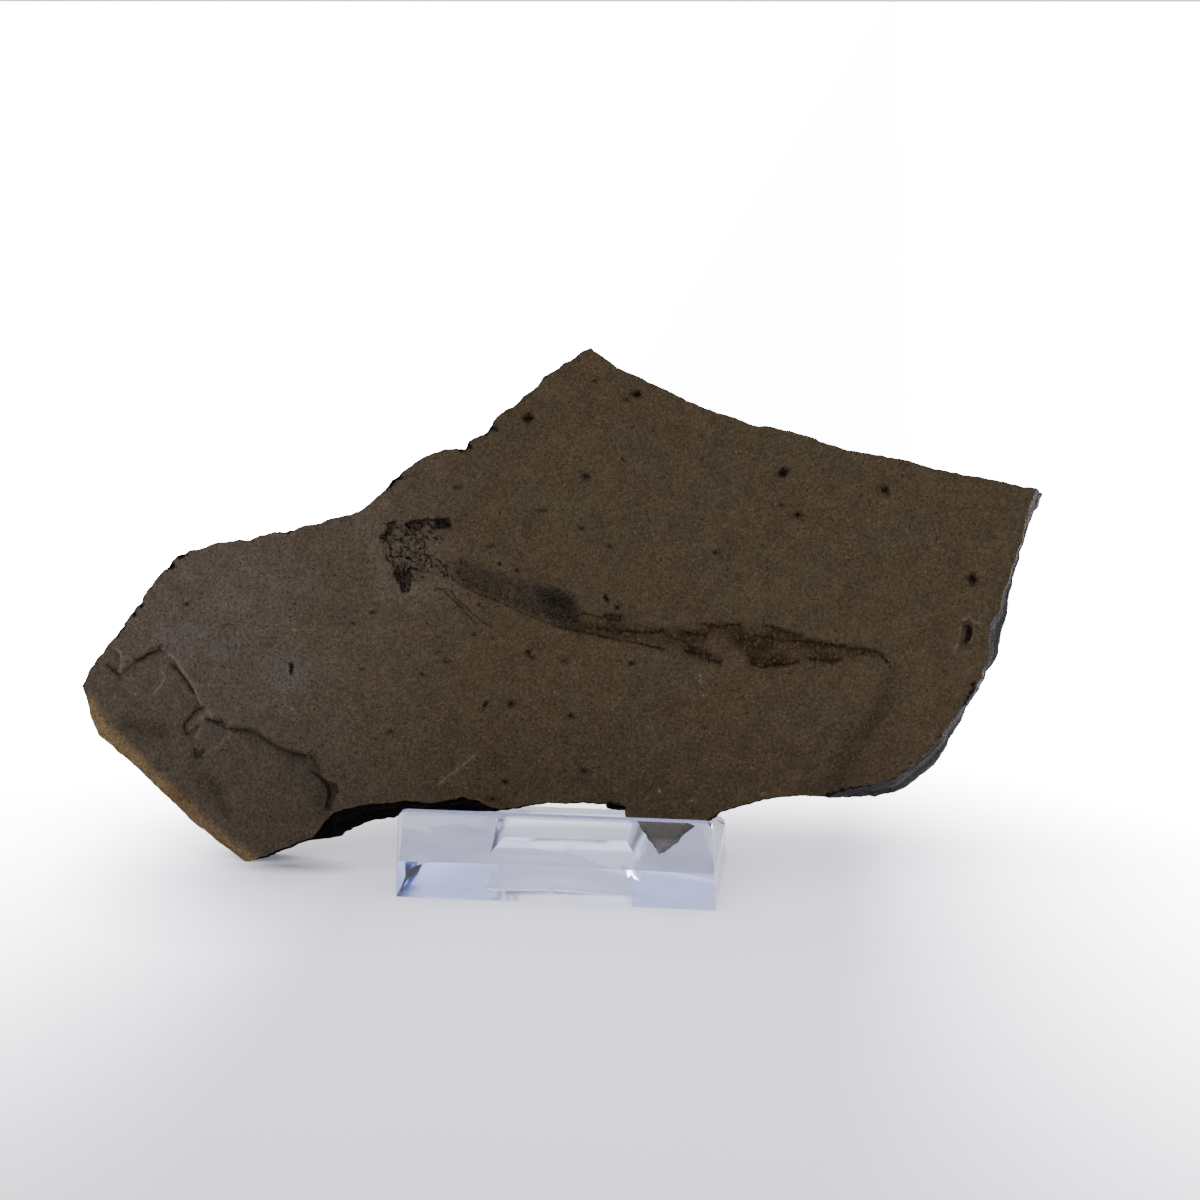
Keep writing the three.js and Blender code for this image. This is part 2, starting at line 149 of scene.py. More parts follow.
# Upper limit of the patch at the lower left where the top laminae have flaked off, and its depth there
flakeLedge = pointsOf(
    -77, 23.9, -75.7, 23.6, -74.5, 22.7, -73, 21.7, -73.4, 18.9, -72.2, 20.1, -70.7, 21.4, -69.1, 22.3,
    -67.6, 22.9, -66.3, 21.9, -65.2, 21.2, -64.3, 19.8, -63.3, 18.6, -62.4, 17.4, -61.4, 15.6, -62.3, 14.6,
    -63.4, 12.9, -63.2, 11.8, -61.8, 13.1, -60.7, 14.3, -59.3, 13.9, -57.7, 13, -55.1, 13, -53.7, 12.7,
    -52.4, 11.9, -50.6, 11, -48.7, 10.3, -47, 10.2, -45.9, 10, -45.1, 8.7, -44.6, 7.8, -43.6, 7, -42.2, 6.5,
    -42.1, 5.4, -42.6, 4.2, -43, 2.9, -43.4, 1.6,
)
flakeFar = pointsOf(-44, -4, -51, -9, -60, -8, -71, 0, -82, 8, -82, 20)
flakeDepths = [
    (-75.7, 23.6, 0.2), (-70.7, 21.5, 0.35), (-65.4, 21.2, 0.4), (-61.7, 15.9, 0.5), (-57.7, 13, 0.6),
    (-50.6, 11, 0.9), (-45.9, 10, 1.2), (-44.9, 8, 1.6), (-42.2, 6.2, 2.2), (-42.8, 3, 2.4), (-44, -1, 2.1),
    (-50, -2, 1.4), (-55, 4, 0.8), (-62, 4, 0.7), (-70, 12, 0.6), (-77, 15, 0.4), (-53, -4, 1.2),
]
crackFloor = pointsOf(
    -46.19, 7.9, -44.48, 7.1, -42.31, 6.5, -42, 5.5, -42.77, 4.4, -43.39, 2.9, -44.33, 3.4, -43.86, 5,
    -44.17, 6.2, -44.95, 7.1,
)
edgeFlake = pointsOf(36.8, 29.6, 36.9, 31.4, 37.7, 32, 38.6, 31.3, 38.4, 29.8, 37.8, 28.2, 36.9, 28.2)
flakeScar = pointsOf(
    36.3, 28.4, 36.8, 31.2, 37.9, 32, 39, 31.2, 40.8, 31.4, 41.2, 29, 41, 27.4, 40, 24.8, 38.8, 22.2,
    36.6, 18.6, 34, 15.6, 34.2, 18.6, 35.2, 22.4, 36.2, 26,
)
innerLedges = [
    [(-66.9, 20.1), (-66.7, 19), (-67.3, 18), (-68.2, 17.1)],
    [(-61.6, 8.9), (-60.2, 9.7), (-58.8, 10.5), (-58.2, 11.4), (-57.6, 12.8)],
    [(-74.9, 20.4), (-74, 19.6), (-73.1, 19.1)],
]
backScars = [
    {"depth": 0.95, "line": [
        (-30, 70), (52, 70), (52, 34), (33, 36), (24, 41), (9, 38), (-2, 46), (-12, 44), (-24, 50)]},
    {"depth": 1.1, "line": [
        (-84, 30), (-66, 27), (-58, 20), (-47, 19), (-41, 11), (-43, -10), (-84, -10)]},
]

# The skull: dark bone slivers, as (width, points)
skullSlivers = strokesOf(
    (0.21, -35.09, 40.7, -34.55, 41.03, -33.66, 41.28, -32.94, 41.27, -32.44, 41.47, -31.64, 41.41,
     -30.86, 41.53, -30.08, 41.56, -29.64, 41.73),
    (0.47, -31.07, 41.24, -30.51, 41.3, -29.94, 41.17, -29.6, 41.14),
    (0.52, -30.88, 40.74, -30.25, 40.72, -29.76, 40.79, -29.31, 40.76),
    (0.33, -31.35, 40.35, -30.91, 40.47, -30, 40.42),
    (0.24, -32.65, 41.32, -32.17, 40.91, -31.62, 40.4, -31.13, 40.38),
    (0.35, -35.16, 40.65, -34.78, 40.36, -34.23, 40.25),
    (0.21, -34.53, 40.72, -34.05, 40.96, -33.53, 40.89, -33, 40.78),
    (0.19, -34.09, 40.23, -33.69, 40.01, -33.18, 40.16, -32.9, 40.57), (0.17, -33.44, 41.36, -33.24, 40.99),
    (0.24, -37.69, 40.57, -37.29, 40.74, -36.7, 40.94),
    (0.21, -37.57, 40.53, -37.36, 40.1, -37.63, 39.65, -37.83, 39.2),
    (0.26, -38.45, 39.02, -37.83, 39.2, -37.25, 39.38), (0.21, -38.47, 38.69, -37.97, 38.64, -37.58, 38.84),
    (0.21, -37.83, 39.2, -37.83, 38.65, -37.98, 38.07), (0.17, -37.25, 39.38, -36.95, 39.61, -37.07, 40.04),
    (0.12, -36.67, 40.57, -36.2, 40.26, -35.73, 40.06),
    (0.21, -37.79, 38.65, -37.31, 38.19, -37.09, 37.69, -36.96, 37.1, -36.87, 36.45),
    (0.21, -36.89, 38.69, -36.31, 38.6, -35.74, 38.47, -35.17, 38.15), (0.14, -36.08, 38.83, -35.35, 38.75),
    (0.26, -35.12, 39.42, -34.4, 39.34), (0.17, -34.68, 40.19, -34.47, 39.84),
    (0.21, -34.06, 39.69, -33.76, 39.26, -33.64, 38.78),
    (0.21, -33.59, 38.83, -32.93, 38.75, -32.55, 38.43, -32.34, 37.89, -32.66, 37.64, -33.2, 37.66),
    (0.21, -32.3, 39.32, -32.08, 38.85), (0.14, -31.78, 40, -31.42, 39.66),
    (0.17, -34.46, 38.9, -34.11, 38.45), (0.21, -35.69, 37.68, -35.51, 37.1, -35.76, 36.76),
    (0.21, -35.2, 37.77, -34.55, 37.58, -34.18, 37.16, -34.27, 36.78),
    (0.26, -37.01, 36.44, -36.28, 36.34, -35.61, 36.5, -35.33, 36.38), (0.4, -34.76, 36.34, -34.23, 36.21),
    (0.14, -37.65, 36.57, -37.43, 36.03, -37.15, 35.82, -36.86, 35.57),
    (0.14, -34.18, 37.05, -33.6, 36.94, -33.27, 37.31), (0.14, -33.13, 36.65, -32.65, 36.81),
    (0.21, -32.36, 36.91, -31.89, 36.6, -31.53, 36.18, -31.36, 35.74, -31.47, 35.3),
    (0.14, -31.96, 36.97, -31.34, 36.73), (0.19, -30.86, 36.31, -30.28, 36.03, -30.11, 35.78),
    (0.14, -31.25, 35.38, -30.97, 35.22),
    (0.24, -29.91, 35.55, -29.45, 35.28, -29.19, 34.75, -29.11, 34.29),
    (0.21, -30.13, 34.81, -29.61, 34.4, -29.15, 34.18), (0.17, -29.59, 35.71, -29.24, 35.51),
    (0.12, -34.2, 35.73, -33.27, 35.99), (0.19, -31.18, 39.19, -30.89, 38.88),
    (0.19, -30.39, 39.12, -30.15, 38.84), (0.24, -32.6, 33.94, -32.37, 33.88),
    (0.19, -33.61, 33.61, -33.47, 33.48), (0.12, -36.35, 35.75, -36.1, 34.99, -36.06, 34.42),
    (0.17, -35.86, 35.22, -35.59, 34.46, -35.3, 33.88, -34.81, 33.25),
    (0.14, -35.42, 35.35, -35.14, 34.59, -34.74, 33.69), (0.19, -34.96, 35.3, -34.99, 34.6, -34.62, 33.91),
    (0.24, -34.67, 34.57, -34.12, 34.42, -34.05, 33.72, -34.1, 32.88, -34.23, 32),
    (0.31, -36.36, 34.25, -35.99, 33.79, -35.62, 33.25, -35.23, 32.79),
    (0.21, -36.06, 34.44, -35.41, 33.48, -35.14, 32.79),
    (0.19, -35.39, 33.22, -35.22, 32.4, -35.04, 31.94, -34.36, 31.93), (0.14, -34.89, 33.11, -34.7, 32.38),
    (0.31, -34.53, 34.49, -34.37, 34.85, -34.02, 35.08, -33.47, 34.89, -33.15, 34.9),
    (0.19, -34.22, 35.38, -33.89, 35.04), (0.14, -36.71, 36.06, -36.53, 35.41, -36.29, 34.54),
    (0.17, -28.72, 34.44, -28.58, 34.01, -28.22, 33.59), (0.14, -27.6, 36.5, -27.46, 35.81),
    (0.12, -35.34, 35.9, -35.04, 35.47), (0.12, -33.51, 35.54, -33.16, 35.29),
    (0.12, -32.97, 36.27, -32.73, 36.01), (0.14, -27.96, 34.8, -27.76, 34.57),
)
skullDark = [
    [(-31.2, 41.6), (-29.3, 41.8), (-29.1, 40.4), (-31, 40.3), (-31.6, 40.8)],
    [(-35.4, 40.8), (-34.6, 41.2), (-32.8, 41.4), (-32.6, 40.7), (-33.8, 39.9), (-34.9, 40)],
    [(-36.4, 34.5), (-35.6, 34.7), (-34.1, 34.6), (-34, 33.3), (-34.1, 31.9), (-35.2, 31.9), (-35.5, 32.7),
        (-36.2, 33.8)],
    [(-37.9, 40.7), (-36.7, 41), (-36.7, 39.8), (-37.2, 39.2), (-37.8, 38.4), (-38.5, 38.7), (-37.9, 39.8)],
]
skullField = pointsOf(
    -38.5, 39.1, -37.7, 40.6, -36.6, 41, -35, 41.2, -32.3, 41.6, -29.4, 41.7, -29.2, 40.5, -31.3, 40,
    -32.2, 38.9, -32, 36.9, -31, 35.7, -28.9, 34.4, -29.1, 33.9, -30.7, 34.4, -32.8, 34.3, -34, 33.3,
    -34.2, 31.9, -35.2, 31.9, -36.5, 34.3, -37.7, 36.7,
)

# Splinters of crushed bone between the slivers
splinters = {"count": 150, "length": (0.2, 0.75), "width": (0.07, 0.17), "seed": 5}

# Hair-thin lines of the limbs, belly and tail
limbLines = strokesOf(
    (0.14, -30.8, 32.3, -30.2, 32.6, -29.5, 32.3, -28.8, 31.6, -27.6, 30.7, -26.9, 30, -25.9, 28.9,
     -25, 28.2),
    (0.14, -30.1, 32.6, -29.3, 32.5, -28.5, 32.4, -28.2, 31.8, -27.8, 31.3, -27.1, 30.8, -26.6, 30.4,
     -25.7, 29.6, -24.8, 29, -23.9, 28.4, -23.1, 28), (0.22, -24.1, 28.5, -23.6, 28.2),
    (0.17, -26.2, 29.3, -25.8, 28.9), (0.17, -27.8, 30.9, -27.4, 30.5),
    (0.13, -27.9, 33.5, -27.1, 33.1, -24.9, 32.1, -22.7, 31.4, -20, 30.3, -17.8, 29.5, -16.2, 29,
     -13.8, 28.2, -11.7, 27.8), (0.1, -28.5, 33.5, -28.4, 32.4), (0.1, -29.3, 36, -28.4, 35.9, -27.6, 36.3),
)
tailLines = strokesOf(
    (0.14, -11.4, 30.4, -10.2, 30.1, -8.7, 29.8, -7.8, 29.7, -6.6, 29.7),
    (0.26, -8.2, 30.1, -7.2, 30.3, -6.2, 30.1, -6.3, 29.7, -7.6, 29.6),
    (0.18, -9.5, 28.5, -7.5, 28.3, -6, 28.1, -4.7, 28.3, -3.5, 28.2, -2, 28.3, -0.6, 28.6),
    (0.15, -14, 28.3, -12.4, 28.1, -10.6, 27.8, -9.4, 27.6, -7.8, 27.3, -6.1, 27, -4.3, 26.9, -2.5, 26.5,
     -0.7, 26.3), (0.22, -2.5, 26.5, -0.4, 26.2), (0.26, 2.2, 26.1, 4, 25.7, 5.5, 25.2, 7, 24.9),
    (0.15, 2.8, 26.7, 4.6, 26, 6.1, 25.5), (0.15, -0.5, 28.1, 1.5, 27.5, 3.4, 26.7),
    (0.26, 2.1, 28.5, 3.9, 28.3, 5, 28.2), (0.15, 3.8, 29.5, 4.9, 29.7, 6.4, 29.5, 7.9, 29.7, 9.3, 29.8),
    (0.15, 11.1, 28.5, 12, 28.4, 13.2, 28.4),
    (0.2, 12, 29.7, 13.4, 29.7, 14.7, 29.2, 15.8, 28.8, 16.9, 28.8),
    (0.22, 10.4, 25.8, 11.2, 24.8, 12.2, 24.6, 13.7, 25, 15.3, 25, 16.8, 25.5),
    (0.18, 14.4, 28.1, 16.1, 28.1, 17.8, 28.1, 19.3, 28.1, 20.4, 27.8, 22.2, 27.6, 23.9, 27.5, 25.3, 27.4,
     26.6, 27.2, 27.4, 26.6, 27.8, 25.9, 28.2, 25.4), (0.26, 20.2, 27.9, 21.6, 27.7, 23.3, 27.5),
    (0.22, 18.2, 25.9, 19.4, 25.8, 20.6, 25.7, 22.3, 26.1), (0.16, 18.8, 26.6, 20.5, 26.6),
    (0.12, 23.7, 26.6, 24.8, 27, 25.5, 27.2),
)
bodyFilm = pointsOf(
    -28.5, 35.3, -27.7, 36.3, -27.2, 36.6, -25.9, 36.3, -23.2, 35.3, -20.3, 34.5, -17.2, 33.6, -15.9, 33.4,
    -14.4, 33.1, -13.3, 32.7, -12.5, 32.2, -12.1, 31.3, -12, 30.3, -11.1, 29, -11.3, 28, -12.8, 28.1,
    -14.5, 28.5, -17.6, 29.6, -20.8, 30.8, -23.9, 31.7, -26.6, 32.8, -28.2, 34,
)
bodyDarkEnd = pointsOf(
    -17.2, 33.2, -15.9, 33.4, -14.4, 33.1, -13.3, 32.7, -12.5, 32.2, -12, 31.1, -12.1, 29.8, -13.1, 29.9,
    -14.8, 30, -16.4, 31,
)
bodyBelly = pointsOf(
    -28, 34, -26, 34, -21, 31.9, -16, 30.4, -11.6, 29.2, -12.8, 28.1, -20.8, 30.8, -26.6, 32.8,
)
tailFilm = pointsOf(
    -12.3, 30.9, -9.6, 30.2, -6.3, 29.7, -0.6, 29, 2.1, 28.6, 3.9, 28.4, 4.9, 29.7, 8.5, 29.7, 11.4, 30,
    13.1, 29.8, 15.5, 29, 20.1, 28.1, 26.2, 27.3, 24.2, 26.5, 20.3, 25.5, 18, 25.7, 15.7, 25, 12, 24.5,
    10.7, 25.3, 8.6, 26.7, 7, 25, 4.6, 25.2, 2.2, 26.1, -4.3, 26.9, -14, 28.3,
)
tailPaleLens = pointsOf(5, 27.9, 6.8, 28.3, 8.6, 27.3, 8.7, 25.8, 7.1, 25.1, 5.8, 25.7)
tailBrownFin = pointsOf(10.7, 26.8, 12.7, 27.2, 15, 26.7, 15.7, 25.6, 14, 24.9, 11.9, 24.6, 10.9, 25.3)

tailBlotches = strokesOf(
    (0.8, -8.3, 30, -6.1, 30), (0.74, -6.2, 28.2, -3.9, 28.1), (0.74, -2.3, 28.2, -0.6, 28.4),
    (0.57, -8.1, 29, -6.6, 28.7), (1.43, 1.6, 28.4, 3.6, 28.1, 4.8, 28.4),
    (1.03, 2.6, 26.3, 4.4, 25.7, 6.7, 24.9), (1.03, 4.7, 29.3, 7, 29.3, 9.1, 29.5),
    (2, 8.8, 28.1, 11.2, 27.3, 13.2, 28), (1.6, 11, 25.5, 12.4, 25.4, 14.7, 25.4),
    (0.74, 13.1, 29.4, 15.1, 28.9, 16.8, 28.6), (1.03, 17.4, 27.9, 19.7, 27.6), (0.74, 18.4, 26, 21, 26),
    (0.69, 20.3, 27.9, 22.9, 27.5, 25.1, 27.2), (0.4, 26, 27.2, 27.1, 26.8, 27.7, 26.3),
    (0.86, -11, 28.5, -8, 28.1, -4.2, 27.7),
)

# Spots, flecks, chips and lines of the face, as (width, points)
darkSpots = strokesOf(
    (1, -20, 55, -19.7, 55.2), (0.9, -6, 58.6, -5.6, 58.7), (0.6, -11.8, 47.8), (1, 13.3, 49.1, 13.7, 49.4),
    (0.7, 15.7, 44), (0.8, 26.4, 47.7, 26.5, 47.4), (0.35, -11.4, 60.2), (0.35, 13.5, 45.2),
    (0.3, -7.2, 50.2), (0.3, -7.1, 57.9), (0.3, -24.8, 30.7), (0.28, -20.1, 35.3), (0.18, -22.4, 36),
    (0.28, -8.4, 32.6, -8.2, 32.1), (0.2, -6.8, 31.3), (0.25, -38.9, 29.1), (0.25, -17.8, 25),
    (0.25, -4.6, 24.2), (0.9, 37.7, 37, 38, 36.6), (0.4, 5.5, 38.8), (0.5, -8.1, 32.1), (0.6, -19.7, 18.2),
    (0.45, -12, 17.1), (0.3, -23.4, 17.6, -23.1, 18.1), (0.4, -35.6, 13.7), (0.6, -9.7, 10.2),
    (0.5, -20, 8.2), (0.45, -21.5, 5.9), (0.4, -24.2, 53.5), (0.4, -64.3, 28.9), (0.28, -39, 29),
    (0.3, -41.4, 27.5), (0.5, -17.9, 24.8), (0.3, -17.5, 24.3), (0.35, -4.5, 24.2), (0.35, -6.7, 31.2),
    (0.3, -20, 35.3), (0.3, -22.4, 36.1), (0.25, -28.8, 45.7), (0.22, -19.6, 32.8), (0.22, -12, 41.1),
    (0.22, -23.7, 38.3), (0.25, -31.8, 21.4), (0.22, -39.8, 21.6), (0.22, -13.3, 24), (0.22, -28.6, 23.1),
    (0.2, -25.3, 26.8), (0.2, -8.2, 38.9), (0.2, -17.4, 43.2), (0.34, -49.4, 21.7, -49.35, 20.7),
    (0.7, 37.6, 30.9, 37.7, 30, 37.4, 29.1),
)
pits = [
    (0.9, 0.3, (-19.9, 55.1)), (0.8, 0.25, (-5.8, 58.6)), (0.5, 0.25, (-11.8, 47.9)),
    (1, 0.3, (13.5, 49.2)), (0.6, 0.25, (15.7, 44)), (0.7, 0.25, (26.4, 47.6)), (0.9, 0.35, (37.8, 36.8)),
    (0.4, 0.45, (-49.35, 21.3)), (0.5, 0.25, (-19.7, 18.2)), (0.4, 0.2, (-12, 17.1)),
    (0.5, 0.25, (-20, 8.2)),
]
shadowLines = strokesOf(
    (0.28, -70.8, 21.1, -69.8, 21.6, -69.1, 22.2, -68.2, 22.5), (0.18, -67.7, 23.2, -67.6, 22.6),
    (0.22, -65.9, 20.8, -65.1, 20.3, -64.2, 19.3, -63.4, 18.4, -62.7, 17.4),
    (0.27, -74.9, 20.4, -74, 19.6, -73.2, 19.2),
    (0.36, -61.4, 15.3, -62.3, 14.8, -63, 13.9, -63.8, 12.9, -63.2, 11.9),
    (0.27, -60.4, 13.9, -59.4, 13.7, -58.4, 13.7), (0.24, -62.1, 9.9, -61.9, 9, -61, 9.2, -60.9, 9.9),
    (0.14, -58.4, 13.4, -57.7, 12.9, -55.1, 12.9, -53.7, 12.6, -52.4, 11.8, -50.6, 10.9, -48.7, 10.2,
     -45.9, 9.9, -45.1, 8.7, -44.7, 7.9),
)
chipLines = strokesOf(
    (0.5, -66.4, 35.2, -64.9, 35.6), (0.5, -67.4, 33.6, -66.5, 34), (0.4, -70.8, 29, -70.6, 28.4),
    (0.36, -71.8, 27.5, -71.6, 27.2), (0.3, -73, 25.4, -73.8, 24.3), (0.35, -51.7, 39, -50.7, 39.1),
    (0.6, -28.4, 50.8, -27.4, 51.2), (0.6, -25.3, 53, -24.7, 53.8), (0.3, -38, 45.3, -36.4, 46.9),
    (0.4, 39, 23.8, 38.4, 22.4, 37.4, 20.6, 36.7, 19.2, 35.6, 17.8, 34.4, 16.1, 33.2, 14.8),
    (0.5, 31.6, 13.1, 29.8, 11.5, 28.9, 10.9, 26.4, 10.3, 24, 9.8, 21.4, 8.9), (0.5, -6.6, 5.9, -4.5, 5.8),
    (0.35, -3.2, 2.8, 0, 0, 3.4, 2.7),
)
paleLines = strokesOf(
    (0.2, -66.8, 21.9, -66, 22.1, -65.2, 21.4, -64.2, 20.2, -63.3, 19.1, -62.4, 17.9, -61.9, 16.8,
     -61.4, 15.8), (0.22, -73.8, 22.7, -73, 22.1, -72.8, 20.8, -72.8, 19.6),
    (0.36, -61, 14.1, -61.5, 12.9, -61.8, 11.7), (0.3, -60.4, 15.1, -59.8, 14.5),
    (0.12, -61, 9.2, -60.1, 9.8, -58.8, 10.5, -58.3, 11.3), (0.16, -57.7, 13.1, -57.5, 11.5),
    (0.14, -67.2, 20, -66.8, 19, -67.3, 18, -68.1, 17.1),
    (0.24, 37, 31.7, 37.7, 32.1, 38.2, 31.5, 38.9, 31.4), (0.2, 38.3, 31.5, 38.4, 29.9, 37.9, 28.8),
    (0.16, 36.7, 30.9, 36.6, 29.8), (0.16, 36.3, 28.7, 36.1, 27.7),
    (0.12, -28.7, 7.4, -26.4, 9.3, -24.1, 11.4),
)
paleFlecks = strokesOf(
    (0.24, -73.5, 16.1), (0.24, -70.7, 16.7), (0.24, -49.3, 26.3), (0.2, -49, 16), (0.24, -46.7, 9.9),
    (0.2, 7.3, 31.6), (0.3, 4.4, 23.1), (0.24, 4.4, 22.4), (0.3, 0.1, 8.2, 0.6, 6.6), (0.2, 4.3, 7.3),
    (0.2, 13.2, 8.8), (0.22, 5, 20.6),
)
tanRim = pointsOf(
    -77.4, 14.6, -76.6, 13.2, -75, 11.3, -73, 9.5, -70.6, 7.7, -68.2, 5.6, -65.9, 3.8, -63.5, 2, -61.1, 0,
    -58.8, -1.6, -56.2, -3.2, -53.9, -4.6,
)
orangeStains = strokesOf((1, -65.6, 4.4, -64.3, 3.7, -62.5, 2.6), (0.5, -61.8, 1.8, -61.4, 1.4))
brownStains = strokesOf(
    (1, -58.1, 3.1, -57.3, 2.2), (2.2, -60.3, 5.6, -58.8, 4.4), (2.4, -71.5, 12.5, -67, 12),
)
blueBlooms = strokesOf(
    (2.6, -67.9, 30.2), (2.6, -65.8, 24.4, -62.6, 24.8), (2.2, -61, 24.2, -58.2, 23.1),
    (4.6, -50.2, 21.4, -49.8, 20.4),
)
headHalo = (4.5, [(-39.5, 42.5), (-38.5, 37), (-36.5, 32.5), (-33, 32), (-29.5, 33)])
skullMatrix = (5, [(-35.6, 39.5), (-34.8, 36.5), (-32.2, 37)])
greenStain = pointsOf(
    28.9, 25, 27.9, 24.3, 27.6, 22.1, 26.2, 20.4, 24.9, 18.4, 22.9, 16.4, 22.5, 13.7, 20.5, 11.1, 17.4, 9.4,
    17.4, 8.6, 23.2, 9.6, 25.5, 12, 25.9, 14.7, 26.4, 16.6, 28.1, 19.1, 28.8, 21.6,
)


def roomAxes():
    turn = math.radians(slab["turn"])
    lean = math.radians(slab["lean"])
    across = Vector((math.cos(turn), math.sin(turn), 0))
    away = Vector((-math.sin(turn), math.cos(turn), 0))
    upward = away * math.sin(lean) + Vector((0, 0, math.cos(lean)))
    return np.array([across, upward, across.cross(upward)])


def slabToRoom(points):
    return (np.array(slab["tip"]) + np.asarray(points) @ roomAxes()) * mm


# Drawing on the slab's face: each function takes an array of (s, t) points

def closed(line):
    return list(line) + [line[0]]


def widened(lines, extra):
    return [(width + extra, line) for width, line in lines]


def distanceTo(flat, line):
    nearest = np.full(len(flat), 1e9)
    if len(line) == 1:
        return np.hypot(*(flat - line[0]).T)
    for start, end in zip(np.array(line[:-1]), np.array(line[1:])):
        along = end - start
        share = np.clip((flat - start) @ along / (along @ along), 0, 1)
        nearest = np.minimum(nearest, np.hypot(*(flat - start - share[:, None] * along).T))
    return nearest


def isInside(flat, outline):
    s, t = flat.T
    inside = np.zeros(len(flat), bool)
    for (s0, t0), (s1, t1) in zip(outline, closed(outline)[1:]):
        if t0 != t1:
            inside ^= ((t0 > t) != (t1 > t)) & (s < s0 + (t - t0) * (s1 - s0) / (t1 - t0))
    return inside


def strokes(flat, lines, soft=0.08):
    mask = np.zeros(len(flat))
    for width, line in lines:
        mask = np.maximum(mask, np.clip((width / 2 + soft / 2 - distanceTo(flat, line)) / soft, 0, 1))
    return mask


def area(flat, outline, soft):
    depth = distanceTo(flat, closed(outline))
    depth = np.where(isInside(flat, outline), depth, -depth)
    return np.clip(depth / soft + 0.5, 0, 1)


def roughness(flat, size, octaves, seed):
    return np.array([noise.fractal(Vector((s / size, t / size, seed)), 0.9, 2, octaves) for s, t in flat])


def resampled(line, step):
    points = [np.array(line[0], float)]
    for start, end in zip(np.array(line[:-1], float), np.array(line[1:], float)):
        count = max(1, round(np.hypot(*(end - start)) / step))
        points += [start + (end - start) * k / count for k in range(1, count + 1)]
    return np.array(points)


# Heights of the face and of the back, as n at each (s, t)

def flakeDepth(flat):
    corners = np.array(flakeDepths)
    away = np.hypot(flat[:, None, 0] - corners[:, 0], flat[:, None, 1] - corners[:, 1]) + 0.5
    weight = away ** -3
    depth = (weight * corners[:, 2]).sum(1) / weight.sum(1)
    outline = flakeLedge + flakeFar
    step = np.clip(distanceTo(flat, flakeLedge) / 0.16, 0, 1)
    terrace = 0.07 * np.round(2.2 * roughness(flat, 6, 2, 5))
    return np.where(isInside(flat, outline), step * (depth + terrace * step), 0)


def faceHeight(flat):
    s, t = flat.T
    height = 0.2 * np.sin(s / 17 + 1) * np.cos(t / 13) - 0.2
    height += slab["faceRoughness"] * (roughness(flat, 5, 3, 1) + 0.5 * roughness(flat, 0.9, 2, 2))
    height -= flakeDepth(flat)
    height -= slab["crackDepth"] * area(flat, crackFloor, 0.12)
    height -= slab["edgeFlakeDepth"] * area(flat, edgeFlake, 0.2)
    height -= slab["flakeScarDepth"] * area(flat, flakeScar, 0.3)
    for line in innerLedges:
        height -= slab["ledgeDepth"] * np.clip(1 - distanceTo(flat, line) / 0.5, 0, 1)
    for width, depth, centre in pits:
        height -= depth * np.clip(1.3 - distanceTo(flat, [centre]) * 2.2 / width, 0, 1)
    height += slab["boneHeight"] * strokes(flat, skullSlivers, 0.1)
    height += 0.05 * strokes(flat, [skullMatrix], 3) * roughness(flat, 0.7, 2, 9)
    height += slab["filmHeight"] * area(flat, bodyFilm, 0.6) * (1 + roughness(flat, 0.45, 2, 4))
    height += slab["filmHeight"] * strokes(flat, limbLines + tailLines, 0.1)
    return height


def wornScars():
    worn = []
    for scar in backScars:
        line = resampled(closed(scar["line"]), 0.9)[:-1]
        line += slab["scarWobble"] * np.column_stack([roughness(line, 5, 4, seed) for seed in (41, 42)])
        worn.append((scar["depth"], closed([tuple(point) for point in line.tolist()])))
    return worn


def backHeight(flat):
    s, t = flat.T
    height = -slab["thickness"] + 0.5 * np.sin(s / 11) * np.sin(t / 9 + 2)
    height += 0.2 * roughness(flat, 7, 3, 21) + 0.05 * roughness(flat, 1.2, 2, 22) + 0.1
    for depth, line in wornScars():
        inward = np.clip(distanceTo(flat, line) / 0.3, 0, 1)
        height += depth * np.where(isInside(flat, line[:-1]), inward, 0)
    return height


# The broken edge: front and back outlines with the same number of points, and what each stretch is

def edgeOutlines():
    stretches = [
        ("left", leftEdge, leftEdge), ("crown", crownEdge, crownEdge), ("slope", slopeEdge, slopeEdge),
        ("right", rightEdge, rightEdgeBack), ("foot", footEdge, footEdge),
        ("under", underEdge, underEdgeBack), ("lowerLeft", lowerLeftEdge, lowerLeftEdge),
    ]
    corners = [(name, f, b) for name, front, back in stretches for f, b in zip(front, back)]
    names = []
    front = []
    back = []
    for (name, f0, b0), (_, f1, b1) in zip(corners, closed(corners)[1:]):
        count = max(1, round(math.dist(f0, f1) / slab["edgeStep"]))
        for k in range(count):
            names.append(name)
            front.append(np.array(f0) + (np.array(f1) - f0) * k / count)
            back.append(np.array(b0) + (np.array(b1) - b0) * k / count)
    front = np.array(front)
    back = np.array(back)
    tangent = np.roll(front, -2, 0) - np.roll(front, 2, 0)
    outward = np.stack([-tangent[:, 1], tangent[:, 0]], 1) / np.hypot(*tangent.T)[:, None]
    bite = [noise.fractal(Vector((s / 1.3, t / 1.3, 3)), 0.8, 2.1, 3) for s, t in front]
    bite = slab["edgeBite"] * np.array(bite)
    bite = np.where(np.array(names) == "lowerLeft", 0.4 * bite, bite)[:, None]
    return np.array(names), front + outward * bite, back + outward * bite, outward


